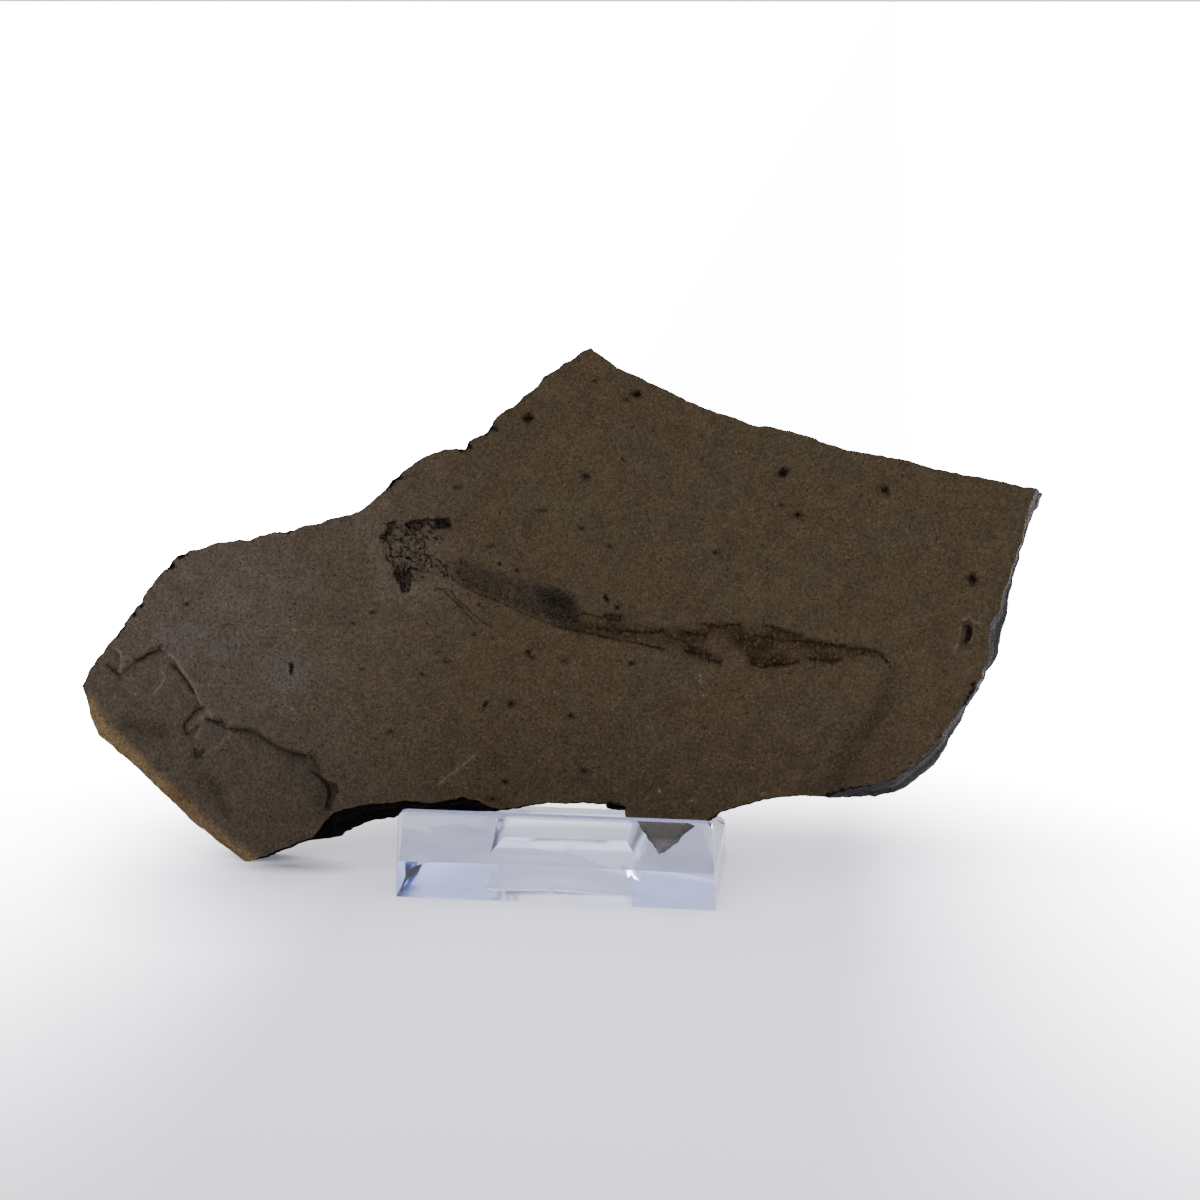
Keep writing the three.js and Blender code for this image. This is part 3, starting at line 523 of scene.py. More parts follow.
def rimRing(depth, front, back, outward, names):
    table = np.array(laminae)
    share = np.interp(depth, table[:, 0], table[:, 1])
    step = np.interp(depth, table[:, 0], table[:, 2])
    ragged = np.array([
        0.22 * noise.fractal(Vector((s / 5, t / 5, depth / 0.5)), 0.8, 2, 2)
        + 0.1 * noise.noise(Vector((s / 0.9, t / 0.9, depth / 0.35))) - 0.12
        for s, t in front
    ])
    fade = min(1, depth / 0.5)
    offset = step * (1 + 0.6 * np.sin(np.arange(len(front)) / 14)) + ragged * fade
    shoulder = np.zeros(len(front))
    if depth < slab["bevelDepth"]:
        openShare = 1 - depth / slab["bevelDepth"]
        shoulder = np.where(names == "lowerLeft", 1 - math.sqrt(1 - openShare ** 2), 0)
        wrapped = np.concatenate([shoulder[-4:], shoulder, shoulder[:4]])
        shoulder = np.convolve(wrapped, np.ones(9) / 9, "valid")
    ring = front + (back - front) * share + outward * offset[:, None]
    chipped = strokes(front, widened(chipLines, 0.3), 0.3)
    ring -= outward * (0.07 + 0.3 * chipped[:, None]) * max(0, 1 - depth / 0.45)
    return ring + shoulder[:, None] * np.array(slab["bevel"])


# Points for the face and the back, closer together where there is more to show

def spreadPoints(zone, step, randoms):
    low = np.min(zone, 0)
    high = np.max(zone, 0)
    s, t = np.meshgrid(np.arange(low[0], high[0], step), np.arange(low[1], high[1], step * 0.87))
    s = s + (np.arange(len(s)) % 2)[:, None] * step / 2
    flat = np.stack([s.ravel(), t.ravel()], 1) + randoms.uniform(-0.22, 0.22, (s.size, 2)) * step
    return flat[isInside(flat, zone)]


def addApart(kept, new, gap):
    tree = kdtree.KDTree(len(kept))
    for index, (s, t) in enumerate(kept):
        tree.insert((s, t, 0), index)
    tree.balance()
    cells = {}
    for s, t in new:
        if tree.find((s, t, 0))[2] > gap:
            cells.setdefault((round(s / gap), round(t / gap)), (s, t))
    return np.concatenate([kept, np.array(list(cells.values())).reshape(-1, 2)])


def strokePoints(lines, step):
    points = []
    for width, line in lines:
        for start, end in zip(line[:-1], line[1:]):
            along = np.array(end, float) - start
            side = np.array([-along[1], along[0]]) / np.hypot(*along) * (width / 2 + 0.05)
            for point in resampled([start, end], step):
                points += [point, point + side, point - side]
    return np.array(points)


# Points on, around and across each spot, drawn as strokes too short to see
def spotPoints(spots):
    flat = [(width, [line[0], (line[-1][0] + 0.02, line[-1][1])]) for width, line in spots]
    upright = [(width, [line[0], (line[0][0], line[0][1] + 0.02)]) for width, line in flat]
    return np.concatenate([strokePoints(drawn, 0.12) for drawn in (flat, widened(flat, 0.45), upright)])


def boneSplinters():
    randoms = np.random.RandomState(splinters["seed"])
    low = np.min(skullField, 0)
    high = np.max(skullField, 0)
    centres = randoms.uniform(low, high, (splinters["count"] * 3, 2))
    centres = centres[isInside(centres, skullField)][:splinters["count"]]
    made = []
    for centre in centres:
        angle = randoms.normal(0.5, 1) if centre[1] > 35 else randoms.normal(1.75, 0.5)
        half = np.array([math.cos(angle), math.sin(angle)]) * randoms.uniform(*splinters["length"]) / 2
        bend = np.array([-half[1], half[0]]) * randoms.uniform(-0.6, 0.6)
        made.append((randoms.uniform(*splinters["width"]), [centre - half, centre + bend, centre + half]))
    return made


def insideOnly(points, outline, margin):
    count = len(outline)
    inner = isInside(points, outline)
    inner[count:] &= distanceTo(points[count:], closed(outline)) > margin
    inner[:count] = True
    return points[inner]


def facePoints(outline, randoms):
    ledge = resampled(flakeLedge, 0.25)
    along = np.gradient(ledge, axis=0)
    along /= np.hypot(*along.T)[:, None]
    foot = ledge + np.stack([along[:, 1], -along[:, 0]], 1) * 0.17
    outlines = [(0.25, closed(line)) for line in (crackFloor, edgeFlake, flakeScar)]
    drawn = skullSlivers + limbLines + tailLines + shadowLines + paleLines + chipLines
    skullZone = [(-39.6, 31.2), (-28.4, 31.2), (-26.6, 33), (-27, 37.2), (-28.6, 42.4), (-39.6, 42.4)]
    bodyZone = [
        (-31.5, 38), (-26, 38), (-10, 33.8), (6, 31.2), (30, 29.4), (30, 23.8), (12, 23.6), (-8, 25.6),
        (-31.5, 27.6),
    ]
    kept = addApart(outline, np.concatenate([ledge, foot]), 0.1)
    kept = addApart(kept, strokePoints(outlines, 0.3), 0.12)
    kept = addApart(kept, strokePoints(drawn, 0.22), 0.07)
    kept = addApart(kept, spotPoints(darkSpots + paleFlecks), 0.09)
    zones = {"skull": skullZone, "body": bodyZone, "flaked": flakeLedge + flakeFar, "face": outline}
    for name, zone in zones.items():
        kept = addApart(kept, spreadPoints(zone, spacing[name], randoms), spacing[name] * 0.62)
    return insideOnly(kept, outline, 0.1)


def backPoints(outline, randoms):
    scars = [(0.5, line) for _, line in wornScars()]
    kept = addApart(outline, strokePoints(scars, 0.6), 0.2)
    kept = addApart(kept, spreadPoints(outline, spacing["back"], randoms), 0.6)
    return insideOnly(kept, outline, 0.2)


def triangulated(points, edgeCount):
    edges = [(i, (i + 1) % edgeCount) for i in range(edgeCount)]
    found = geometry.delaunay_2d_cdt([Vector(p) for p in points], edges, [], 0, 1e-6, True)
    flat = np.array([(v.x, v.y) for v in found[0]])
    place = {old: new for new, olds in enumerate(found[3]) for old in olds}
    corners = np.array(found[2])
    first, second, third = (flat[corners[:, k]] for k in range(3))
    turned = (second - first)[:, 0] * (third - first)[:, 1] - (second - first)[:, 1] * (third - first)[:, 0]
    inside = isInside((first + second + third) / 3, points[:edgeCount].tolist()) & (abs(turned) > 1e-7)
    corners = np.where(turned[:, None] > 0, corners, corners[:, [0, 2, 1]])[inside]
    return flat, [tuple(c) for c in corners.tolist()], [place[i] for i in range(edgeCount)]


# Which stretches of the rim are grey or black, and how much; the black of the under and foot stretches is
# dark stone with painted shade, as they face down
rimTones = {
    "greyRim": {"right": 1, "slope": 0.25, "crown": 0.12},
    "blackAndShadedRim": {"under": 1, "foot": 0.75},
}

# Masks of the face: the lines, how much wider they are painted, how soft their edge is, how much they waver
drawnMasks = {
    "bone": (skullSlivers, 0, 0.16, 1),
    "tailBlotch": (tailBlotches, 0, 0.9, 3),
    "headHalo": ([headHalo, skullMatrix], 0, 2.5, 0),
    "blueBloom": (blueBlooms, 0, 2.2, 0),
    "darkMark": (darkSpots, 0.12, 0.2, 1),
    "shadowLine": (shadowLines, 0.12, 0.2, 0),
    "brownStain": (brownStains, 0, 1.8, 0),
}

# The same for filled outlines: the outline and how soft its edge is
filledMasks = {
    "skullField": (skullField, 0.7),
    "tailFin": (tailBrownFin, 0.9),
    "greenStain": (greenStain, 2),
    "flaked": (flakeLedge + flakeFar, 0.4),
    "crack": (crackFloor, 0.2),
}


def faceMasks(flat, warp):
    masks = {}
    for name, (lines, wider, soft, waver) in drawnMasks.items():
        masks[name] = strokes(flat + waver * warp, widened(lines, wider), soft)
    for name, (outline, soft) in filledMasks.items():
        masks[name] = area(flat, outline, soft)
    tail = strokes(flat + 2 * warp, widened(tailLines, 0.08), 0.22)
    veil = area(flat + 2 * warp, bodyFilm, 1.1)
    belly = area(flat, bodyBelly, 1.1)
    end = area(flat, bodyDarkEnd, 2.2)
    flecks = strokes(flat, [(width, line[:1]) for width, line in paleFlecks], 0.14)
    masks["splinter"] = strokes(flat + warp, boneSplinters(), 0.14)
    masks["skullDark"] = np.max([area(flat, patch, 0.35) for patch in skullDark], 0)
    masks["filmLine"] = np.maximum(tail, strokes(flat + warp, limbLines, 0.12))
    masks["bodyFilm"] = np.clip(0.68 * veil + 0.6 * end, 0, 1)
    masks["bodyPepper"] = np.clip(0.2 * veil + 0.28 * belly + 0.62 * end, 0, 1)
    masks["tailFilm"] = area(flat, tailFilm, 0.9) * (1 - 0.7 * area(flat, tailPaleLens, 0.8))
    masks["paleMark"] = np.maximum(0.45 * strokes(flat, paleLines, 0.2), flecks)
    masks["weathered"] = np.clip((-24 - flat[:, 0]) / 34, 0, 1)
    return masks


def paintSlab(mesh, flat, height, isFace, isRim, names):
    warp = 0.06 * np.column_stack([roughness(flat, 0.3, 2, seed) for seed in (31, 32)])
    masks = {name: isFace * values for name, values in faceMasks(flat, warp).items()}
    upper = np.clip((height + 4.5) / 1.5, 0, 1)
    masks["tan"] = strokes(flat + 2 * warp, [(2.9, tanRim)], 1.2) * upper
    masks["orange"] = strokes(flat, orangeStains, 0.8) * upper
    masks["blackChip"] = strokes(flat, widened(chipLines, 0.15), 0.3) * (height > -0.55)
    masks["rim"] = isRim
    for name, shares in rimTones.items():
        masks[name] = np.zeros(len(flat))
        masks[name][isRim] = np.select([names == stretch for stretch in shares], list(shares.values()), 0)
    for name, values in masks.items():
        mesh.attributes.new(name, "FLOAT", "POINT").data.foreach_set("value", np.asarray(values, np.float32))


def addObject(name, data):
    piece = bpy.data.objects.new(name, data)
    bpy.context.scene.collection.objects.link(piece)
    return piece


def buildSlab():
    randoms = np.random.RandomState(slab["seed"])
    names, front, back, outward = edgeOutlines()
    count = len(front)
    rings = [rimRing(share * slab["thickness"], front, back, outward, names) for share in rimShares]
    rowCount = len(rings) - 2
    faceFlat, faceFaces, faceEdge = triangulated(facePoints(rings[0], randoms), count)
    backFlat, backFaces, backEdge = triangulated(backPoints(rings[-1], randoms), count)
    top = faceHeight(rings[0])
    bottom = backHeight(rings[-1])
    flats = [faceFlat, backFlat] + rings[1:-1]
    heights = [faceHeight(faceFlat), backHeight(backFlat)]
    heights += [top + (bottom - top) * share for share in rimShares[1:-1]]
    flat = np.concatenate(flats)
    height = np.concatenate(heights)
    start = len(faceFlat) + len(backFlat)
    rows = [list(range(start + k * count, start + (k + 1) * count)) for k in range(rowCount)]
    loops = [faceEdge, *rows, [len(faceFlat) + i for i in backEdge]]
    faces = list(faceFaces)
    faces += [tuple(len(faceFlat) + i for i in (a, c, b)) for a, b, c in backFaces]
    for upper, lower in zip(loops[:-1], loops[1:]):
        for i in range(count):
            j = (i + 1) % count
            faces.append((upper[i], upper[j], lower[j], lower[i]))
    room = slabToRoom(np.column_stack([flat, height]))
    standLow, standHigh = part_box("display_stand")
    margin = slab["standMargin"] * mm
    overBase = (room[:, 0] > standLow[0] - margin) & (room[:, 0] < standHigh[0] + margin)
    floorLevel = np.where(overBase, slab["tip"][2] * mm, 0)
    room[:, 2] = np.maximum(room[:, 2], floorLevel)
    slabLow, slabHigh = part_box("fossil_slab")
    room = np.clip(room, slabLow, slabHigh)
    mesh = bpy.data.meshes.new("fossilSlab")
    mesh.from_pydata(room.tolist(), [], faces)
    isFace = np.arange(len(flat)) < len(faceFlat)
    isRim = np.arange(len(flat)) >= start
    paintSlab(mesh, flat, height, isFace, isRim, np.tile(names, rowCount))
    mesh.shade_smooth()
    mesh.set_sharp_from_angle(angle=math.radians(slab["smoothAngle"]))
    mesh.update()
    piece = addObject("fossilSlab", mesh)
    print("slab:", len(room), "points,", len(faces), "faces, rim of", count)
    return piece


# Shader helpers

# Links sockets to a node's inputs and sets the values given for the others
def connect(tree, node, inputs):
    for name, value in inputs.items():
        if isinstance(value, bpy.types.NodeSocket):
            tree.links.new(value, node.inputs[name])
        else:
            node.inputs[name].default_value = value


def addNode(tree, kind, inputs=None, **settings):
    made = tree.nodes.new(kind)
    for key, value in settings.items():
        setattr(made, key, value)
    connect(tree, made, inputs or {})
    return made


def blended(tree, share, under, over, kind="MIX"):
    inputs = {0: share, 6: under, 7: over}
    return addNode(tree, "ShaderNodeMix", inputs, data_type="RGBA", blend_type=kind).outputs[2]


def combined(tree, operation, first, second=0.0, clamp=False):
    inputs = {0: first, 1: second}
    return addNode(tree, "ShaderNodeMath", inputs, operation=operation, use_clamp=clamp).outputs[0]


def times(tree, first, second, clamp=False):
    return combined(tree, "MULTIPLY", first, second, clamp)


def plus(tree, first, second, clamp=False):
    return combined(tree, "ADD", first, second, clamp)


def stretched(tree, value, low, high, toLow=0.0, toHigh=1.0):
    inputs = dict(enumerate((value, low, high, toLow, toHigh)))
    return addNode(tree, "ShaderNodeMapRange", inputs).outputs[0]


def axesOf(tree, place):
    return addNode(tree, "ShaderNodeSeparateXYZ", {0: place}).outputs


def painted(tree, name):
    return addNode(tree, "ShaderNodeAttribute", attribute_name=name).outputs["Fac"]


def newMaterial(name):
    material = bpy.data.materials.new(name)
    material.use_nodes = True
    tree = material.node_tree
    addNode(tree, "ShaderNodeTexCoord", name="place")
    return material, tree, tree.nodes["Principled BSDF"]


def placeIn(tree):
    return tree.nodes["place"].outputs["Object"]


def bumped(tree, height, strength, depth):
    inputs = {"Strength": strength, "Distance": depth * mm, "Height": height}
    return addNode(tree, "ShaderNodeBump", inputs).outputs["Normal"]


def buildGrainGroup():
    group = bpy.data.node_groups.new("mineralGrain", "ShaderNodeTree")
    group.interface.new_socket(name="Place", in_out="INPUT", socket_type="NodeSocketVector")
    for name in ("Size", "Detail", "Low", "High"):
        group.interface.new_socket(name=name, in_out="INPUT", socket_type="NodeSocketFloat")
    group.interface.new_socket(name="Value", in_out="OUTPUT", socket_type="NodeSocketFloat")
    entry = addNode(group, "NodeGroupInput").outputs
    scale = combined(group, "DIVIDE", 1 / mm, entry["Size"])
    inputs = {"Vector": entry["Place"], "Scale": scale, "Detail": entry["Detail"], "Roughness": 0.62}
    value = addNode(group, "ShaderNodeTexNoise", inputs).outputs["Fac"]
    value = stretched(group, value, 0.28, 0.72, entry["Low"], entry["High"])
    addNode(group, "NodeGroupOutput", {"Value": value})


def grain(tree, size, low, high, detail):
    inputs = {"Place": placeIn(tree), "Size": size, "Detail": detail, "Low": low, "High": high}
    shared = bpy.data.node_groups["mineralGrain"]
    return addNode(tree, "ShaderNodeGroup", inputs, node_tree=shared).outputs["Value"]


# Colours as they look on the stone in even light
stoneLook = {
    "olive": (71, 63, 46),
    "brown": (75, 61, 44),
    "weathered": (85, 75, 64),
    "paleGrain": (112, 99, 80),
    "darkGrain": (38, 31, 24),
    "blueBloom": (84, 80, 74),
    "headHalo": (88, 78, 66),
    "flaked": (77, 68, 56),
    "bodyFilm": (40, 35, 30),
    "pepper": (14, 10, 7),
    "tailFilm": (48, 34, 19),
    "tailBlotch": (40, 26, 14),
    "skullBrown": (40, 30, 20),
    "splinter": (20, 14, 9),
    "bone": (8, 5, 3),
    "line": (27, 17, 10),
    "spot": (20, 14, 9),
    "shadow": (22, 17, 12),
    "tan": (124, 102, 70),
    "orange": (84, 56, 32),
    "brownStain": (40, 31, 23),
    "greenStain": (38, 34, 24),
    "pale": (140, 126, 106),
    "crack": (74, 64, 55),
    "black": (8, 6, 5),
    "greyRim": (60, 58, 57),
    "rim": (58, 50, 42),
}

# Stains and marks laid over the stone one after another: painted mask, colour, and the grain that thins it
# out, as size, lowest share, highest share and detail
stains = [
    ("blueBloom", "blueBloom", (1.4, 0.35, 0.8, 3)),
    ("headHalo", "headHalo", (1.4, 0.1, 0.7, 3)),
    ("greenStain", "greenStain", (1.4, 0.25, 0.6, 3)),
    ("brownStain", "brownStain", (1.4, 0.25, 0.7, 3)),
    ("tan", "tan", (1.1, 0.6, 1.1, 3)),
    ("orange", "orange", (0.9, 0.1, 0.9, 3)),
]
marks = [
    ("darkMark", "spot", (0.35, 0.7, 1.5, 2)),
    ("shadowLine", "shadow", (0.6, 0.55, 1.2, 2)),
    ("paleMark", "pale", (0.6, 0.35, 1.3, 2)),
]
fossilMarks = [
    ("skullDark", "skullBrown", (0.3, 0.2, 1, 2)),
    ("filmLine", "line", (0.38, 0.15, 1.45, 2)),
]

# Grains that lighten and darken the stone, and grains that make it rough to the touch
shadeGrains = [(0.42, 0.68, 1.32, 2), (2.4, 0.86, 1.14, 2), (0.17, 0.8, 1.2, 1)]
reliefGrains = [(0.4, 0, 0.6, 2), (1.8, 0, 1, 3), (0.17, 0, 0.3, 1)]


def stoneTone(name):
    linear = (((value / 255 + 0.055) / 1.055) ** 2.4 for value in stoneLook[name])
    return tuple(slab["toneGain"] * value for value in linear) + (1,)


def laidOver(tree, colour, share, name):
    return blended(tree, share, colour, stoneTone(name))


def scaled(tree, mask, amount):
    return times(tree, painted(tree, mask), amount, True)


def layered(tree, colour, layers):
    for mask, tone, thinning in layers:
        colour = laidOver(tree, colour, scaled(tree, mask, grain(tree, *thinning)), tone)
    return colour


# A painted mask with its edge broken up by grain of the given size
def broken(tree, mask, size, spread, low=0.3, high=0.7):
    worn = plus(tree, painted(tree, mask), grain(tree, size, -spread, spread, 2))
    return times(tree, stretched(tree, worn, low, high), stretched(tree, painted(tree, mask), 0, 0.25))


def stoneColour(tree):
    colour = blended(tree, grain(tree, 6, 0, 1, 3), stoneTone("olive"), stoneTone("brown"))
    colour = layered(tree, colour, [("weathered", "weathered", (9, 0.5, 1, 2))])
    colour = laidOver(tree, colour, scaled(tree, "flaked", 0.7), "flaked")
    rim = blended(tree, painted(tree, "greyRim"), stoneTone("rim"), stoneTone("greyRim"))
    colour = blended(tree, painted(tree, "rim"), colour, rim)
    colour = layered(tree, colour, stains)
    # Painted shade: the stone is painted darker towards the table, fading out between the footRise heights;
    # the stone's grains are multiplied in after it
    low, high = (height * mm for height in slab["footRise"])
    shade = stretched(tree, axesOf(tree, placeIn(tree))["Z"], low, high, slab["footShade"], 1)
    for sizes in shadeGrains:
        shade = times(tree, shade, grain(tree, *sizes))
    colour = blended(tree, 1.0, colour, shade, "MULTIPLY")
    paleSpeck = stretched(tree, grain(tree, 0.26, 0, 1, 1), 0.8, 1, 0, 0.5)
    colour = laidOver(tree, colour, paleSpeck, "paleGrain")
    darkSpeck = stretched(tree, grain(tree, 0.34, 0, 1, 1), 0.22, 0, 0, 0.7)
    return laidOver(tree, colour, darkSpeck, "darkGrain")


def tailColour(tree, colour):
    mottle = times(tree, grain(tree, 0.38, -0.3, 1.8, 3), grain(tree, 1.2, 0.4, 1.5, 3), True)
    film = times(tree, scaled(tree, "tailFilm", 0.75), mottle)
    film = plus(tree, film, scaled(tree, "tailFin", grain(tree, 0.5, 0, 0.6, 3)), True)
    colour = laidOver(tree, colour, times(tree, film, 0.75), "tailFilm")
    blotch = times(tree, painted(tree, "tailBlotch"), mottle)
    return laidOver(tree, colour, times(tree, blotch, 0.9, True), "tailBlotch")


def bodyColour(tree, colour):
    veil = times(tree, broken(tree, "bodyFilm", 0.5, 0.35, 0.1, 1.1), 0.8)
    colour = laidOver(tree, colour, veil, "bodyFilm")
    within = painted(tree, "bodyPepper")
    pepper = plus(tree, within, grain(tree, 0.19, -0.75, 0.75, 1))
    pepper = plus(tree, pepper, grain(tree, 0.7, -0.2, 0.2, 2))
    pepper = times(tree, stretched(tree, pepper, 0.45, 0.85), stretched(tree, within, 0, 0.2))
    return laidOver(tree, colour, times(tree, pepper, 0.85), "pepper")


def skullColour(tree, colour):
    field = stretched(tree, grain(tree, 0.45, 0, 1, 2), 0.5, 0.9, 0, 0.75)
    colour = laidOver(tree, colour, scaled(tree, "skullField", field), "skullBrown")
    colour = layered(tree, colour, fossilMarks)
    splinter = times(tree, broken(tree, "splinter", 0.2, 0.35), grain(tree, 0.8, 0.3, 1.1, 1), True)
    colour = laidOver(tree, colour, splinter, "splinter")
    bone = times(tree, broken(tree, "bone", 0.2, 0.5, 0.25, 0.8), grain(tree, 0.5, 0.45, 1.35, 2), True)
    return laidOver(tree, colour, bone, "bone")


def shaleMaterial():
    material, tree, shader = newMaterial("shale")
    colour = layered(tree, stoneColour(tree), marks)
    for drawOn in (tailColour, bodyColour, skullColour):
        colour = drawOn(tree, colour)
    colour = laidOver(tree, colour, scaled(tree, "crack", 1), "crack")
    colour = laidOver(tree, colour, broken(tree, "blackChip", 0.5, 0.35), "black")
    # Dark stone and painted shade: the under and foot stretches of the rim, which face down, are painted near
    # black
    colour = laidOver(tree, colour, scaled(tree, "blackAndShadedRim", 0.93), "black")
    dull = combined(tree, "SUBTRACT", grain(tree, 0.4, 0.74, 0.95, 2), scaled(tree, "bone", 0.3))
    relief = times(tree, painted(tree, "flaked"), grain(tree, 1, 0, 1.5, 3))
    for sizes in reliefGrains:
        relief = plus(tree, relief, grain(tree, *sizes))
    connect(tree, shader, {
        "Base Color": colour, "Roughness": dull, "Specular IOR Level": slab["specular"],
        "Normal": bumped(tree, relief, *slab["bump"]),
    })
    return material


# The clear stand keeps the solid's own shape, with its edges eased
stand = {
    "edgeRadius": 0.22,
    "easedAngle": 40,  # edges sharper than this are eased
    "smoothAngle": 32,
    "flatAngle": 0.6,  # faces closer to level than this are joined first
    "weld": 0.002,
    "ior": 1.5,
    "tint": (0.74, 0.78, 0.97, 1),
    "tintDensity": 110,  # per metre
    "roughness": (0.01, 0.036),
    "undersideRoughness": 0.12,
    "undersideRise": (0.12, 0.02),  # heights between which the underside's roughness sets in
    "bump": (0.12, 0.05),
}


def clearPlasticMaterial():
    material, tree, shader = newMaterial("clearPlastic")
    low, high = (height * mm for height in stand["undersideRise"])
    underside = stretched(tree, axesOf(tree, placeIn(tree))["Z"], low, high, 0, stand["undersideRoughness"])
    connect(tree, shader, {
        "Base Color": (1, 1, 1, 1), "Transmission Weight": 1, "IOR": stand["ior"],
        "Roughness": plus(tree, grain(tree, 3, *stand["roughness"], 2), underside),
        "Normal": bumped(tree, grain(tree, 6, 0, 1, 1), *stand["bump"]),
    })
    tinted = {"Color": stand["tint"], "Density": stand["tintDensity"]}
    absorb = addNode(tree, "ShaderNodeVolumeAbsorption", tinted)
    connect(tree, tree.nodes["Material Output"], {"Volume": absorb.outputs[0]})
    return material


def buildStand():
    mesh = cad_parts["display_stand"].data.copy()
    mesh.name = "displayStand"
    mesh.materials.clear()
    shape = bmesh.new()
    shape.from_mesh(mesh)
    bmesh.ops.remove_doubles(shape, verts=shape.verts, dist=stand["weld"] * mm)
    flatAngle = math.radians(stand["flatAngle"])
    bmesh.ops.dissolve_limit(shape, angle_limit=flatAngle, verts=shape.verts, edges=shape.edges)
    shape.to_mesh(mesh)
    shape.free()
    piece = addObject("displayStand", mesh)
    ease = piece.modifiers.new("easedEdges", "BEVEL")
    ease.width = stand["edgeRadius"] * mm
    ease.segments = 3
    ease.limit_method = "ANGLE"
    ease.angle_limit = math.radians(stand["easedAngle"])
    ease.harden_normals = False
    depsgraph = bpy.context.evaluated_depsgraph_get()
    eased = bpy.data.meshes.new_from_object(piece.evaluated_get(depsgraph))
    piece.modifiers.clear()
    piece.data = eased
    eased.shade_smooth()
    eased.set_sharp_from_angle(angle=math.radians(stand["smoothAngle"]))
    print("stand:", len(eased.polygons), "faces")
    return piece


# Camera as in the photograph: 1200 x 1200, a 72 mm lens on a 36 mm frame
camera = {
    "place": (38.896, -283.448, 109.910),
    "forward": (-0.11469, 0.96285, -0.24446),
    "lens": 72,
    "frame": 36,
    "clip": (0.01, 200),  # metres
}


def addCamera():
    data = bpy.data.cameras.new("camera")
    data.lens = camera["lens"]
    data.sensor_width = camera["frame"]
    data.clip_start, data.clip_end = camera["clip"]
    piece = addObject("camera", data)
    forward = Vector(camera["forward"]).normalized()
    right = forward.cross(Vector((0, 0, 1))).normalized()
    turned = Matrix((right, right.cross(forward), -forward)).transposed().to_4x4()
    piece.matrix_world = Matrix.Translation(Vector(camera["place"]) * mm) @ turned
    bpy.context.scene.camera = piece


# The room, in metres: bright behind and above the slab, dimmer and a little blue in front, over a pale sweep
# that glows towards the back and the sides without lighting the stone
studio = {
    "behind": 1.3,
    "behindColour": (1, 1, 1, 1),
    "above": 2.12,
    "aboveColour": (1, 0.975, 1.06, 1),
    "front": 1.25,
    "frontColour": (0.88, 0.95, 1.1, 1),
    "floor": (0.87, 0.865, 0.9, 1),
    "floorHalf": 40,
    "floorGap": 0.02,  # millimetres below the part
    "frontGlow": 0.3,
    "frontReach": (-0.09, -0.03),  # where that glow begins and is full, along Y
    "sideGlow": 11,
    "sideCentre": 0.005,
    "sideReach": (0.03, 0.082),  # outwards from the centre
    "sideDepth": (-0.11, 0.01),  # and along Y
    "sidePower": 1.35,
    "backGlow": 13,
    "backReach": (0.02, 0.06),
    "backBend": 0.01,  # how much nearer the back's glow comes at the sides
    "backPower": 1.8,
    "glowColour": (0.96, 0.98, 1.04, 1),
    "corner": (-0.035, 0.004, 0),  # no glow where the slab's corner stands
    "cornerReach": (0.004, 0.032),
    "contact": (-0.0362, 0.0042, 0),  # the darkest part of the shadow under that corner
    "contactReach": (0.0002, 0.0034),
    "contactShade": 0.3,
    "contactSqueeze": 0.3,  # below 1 the shadow is longer along X
}


def onVectors(tree, operation, first, second):
    return addNode(tree, "ShaderNodeVectorMath", {0: first, 1: second}, operation=operation).outputs


# The floor's pale colour, with a painted shadow darkening it under the slab's corner
def floorColour(tree):
    squeeze = (studio["contactSqueeze"], 1, 1)
    squeezed = onVectors(tree, "MULTIPLY", placeIn(tree), squeeze)["Vector"]
    contact = [part * share for part, share in zip(studio["contact"], squeeze)]
    under = onVectors(tree, "DISTANCE", squeezed, contact)["Value"]
    shade = stretched(tree, under, *studio["contactReach"], studio["contactShade"], 1)
    return blended(tree, 1.0, studio["floor"], shade, "MULTIPLY")


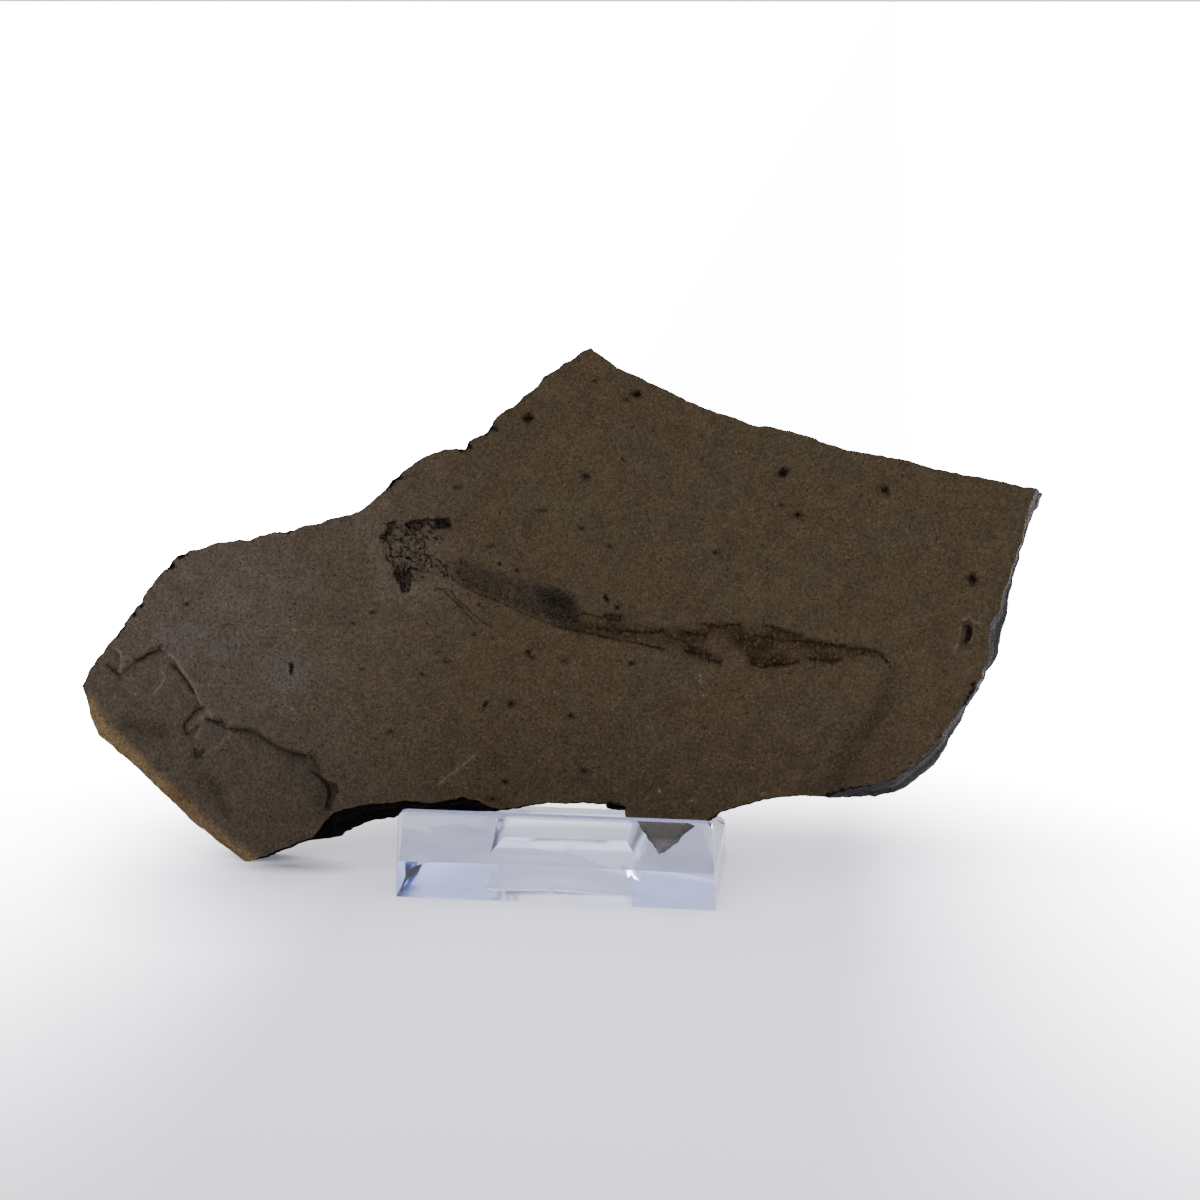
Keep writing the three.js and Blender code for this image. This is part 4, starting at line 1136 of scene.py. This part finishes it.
def floorGlow(tree):
    axes = axesOf(tree, placeIn(tree))
    aside = combined(tree, "ABSOLUTE", combined(tree, "SUBTRACT", axes["X"], studio["sideCentre"]))
    outer = stretched(tree, aside, *studio["sideReach"])
    beside = times(tree, outer, stretched(tree, axes["Y"], *studio["sideDepth"]))
    beside = times(tree, combined(tree, "POWER", beside, studio["sidePower"]), studio["sideGlow"])
    behind = plus(tree, axes["Y"], times(tree, outer, studio["backBend"]))
    behind = combined(tree, "POWER", stretched(tree, behind, *studio["backReach"]), studio["backPower"])
    glow = plus(tree, stretched(tree, axes["Y"], *studio["frontReach"], 0, studio["frontGlow"]), beside)
    corner = onVectors(tree, "DISTANCE", placeIn(tree), studio["corner"])["Value"]
    glow = times(tree, glow, stretched(tree, corner, *studio["cornerReach"]))
    glow = plus(tree, glow, times(tree, behind, studio["backGlow"]))
    unlit = addNode(tree, "ShaderNodeLightPath").outputs["Is Diffuse Ray"]
    return times(tree, glow, combined(tree, "SUBTRACT", 1, unlit))


def addFloor():
    half = studio["floorHalf"]
    mesh = bpy.data.meshes.new("floor")
    corners = [(-half, -half, 0), (half, -half, 0), (half, half, 0), (-half, half, 0)]
    mesh.from_pydata(corners, [], [(0, 1, 2, 3)])
    floor = addObject("floor", mesh)
    floor.location.z = -studio["floorGap"] * mm
    material, tree, shader = newMaterial("paleFloor")
    connect(tree, shader, {
        "Base Color": floorColour(tree), "Roughness": 0.7,
        "Emission Color": studio["glowColour"], "Emission Strength": floorGlow(tree),
    })
    mesh.materials.append(material)


def scaledColour(name):
    return tuple(studio[name] * part for part in studio[name + "Colour"][:3]) + (1,)


def addRoom():
    world = bpy.data.worlds.new("softRoom")
    world.use_nodes = True
    bpy.context.scene.world = world
    tree = world.node_tree
    direction = axesOf(tree, addNode(tree, "ShaderNodeTexCoord").outputs["Generated"])
    backness, topness = (stretched(tree, direction[axis], 0.25, 0.8) for axis in "YZ")
    low = blended(tree, backness, scaledColour("front"), scaledColour("behind"))
    colour = blended(tree, topness, low, scaledColour("above"))
    connect(tree, tree.nodes["Background"], {"Color": colour})


addCamera()
addFloor()
addRoom()
print("camera, floor and light in place")
buildGrainGroup()

slabPiece = buildSlab()
slabPiece.data.materials.append(shaleMaterial())
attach(slabPiece, "root")
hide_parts("fossil_slab")

standPiece = buildStand()
standPiece.data.materials.append(clearPlasticMaterial())
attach(standPiece, "root")
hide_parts("display_stand")
print("pieces ride on the frame")
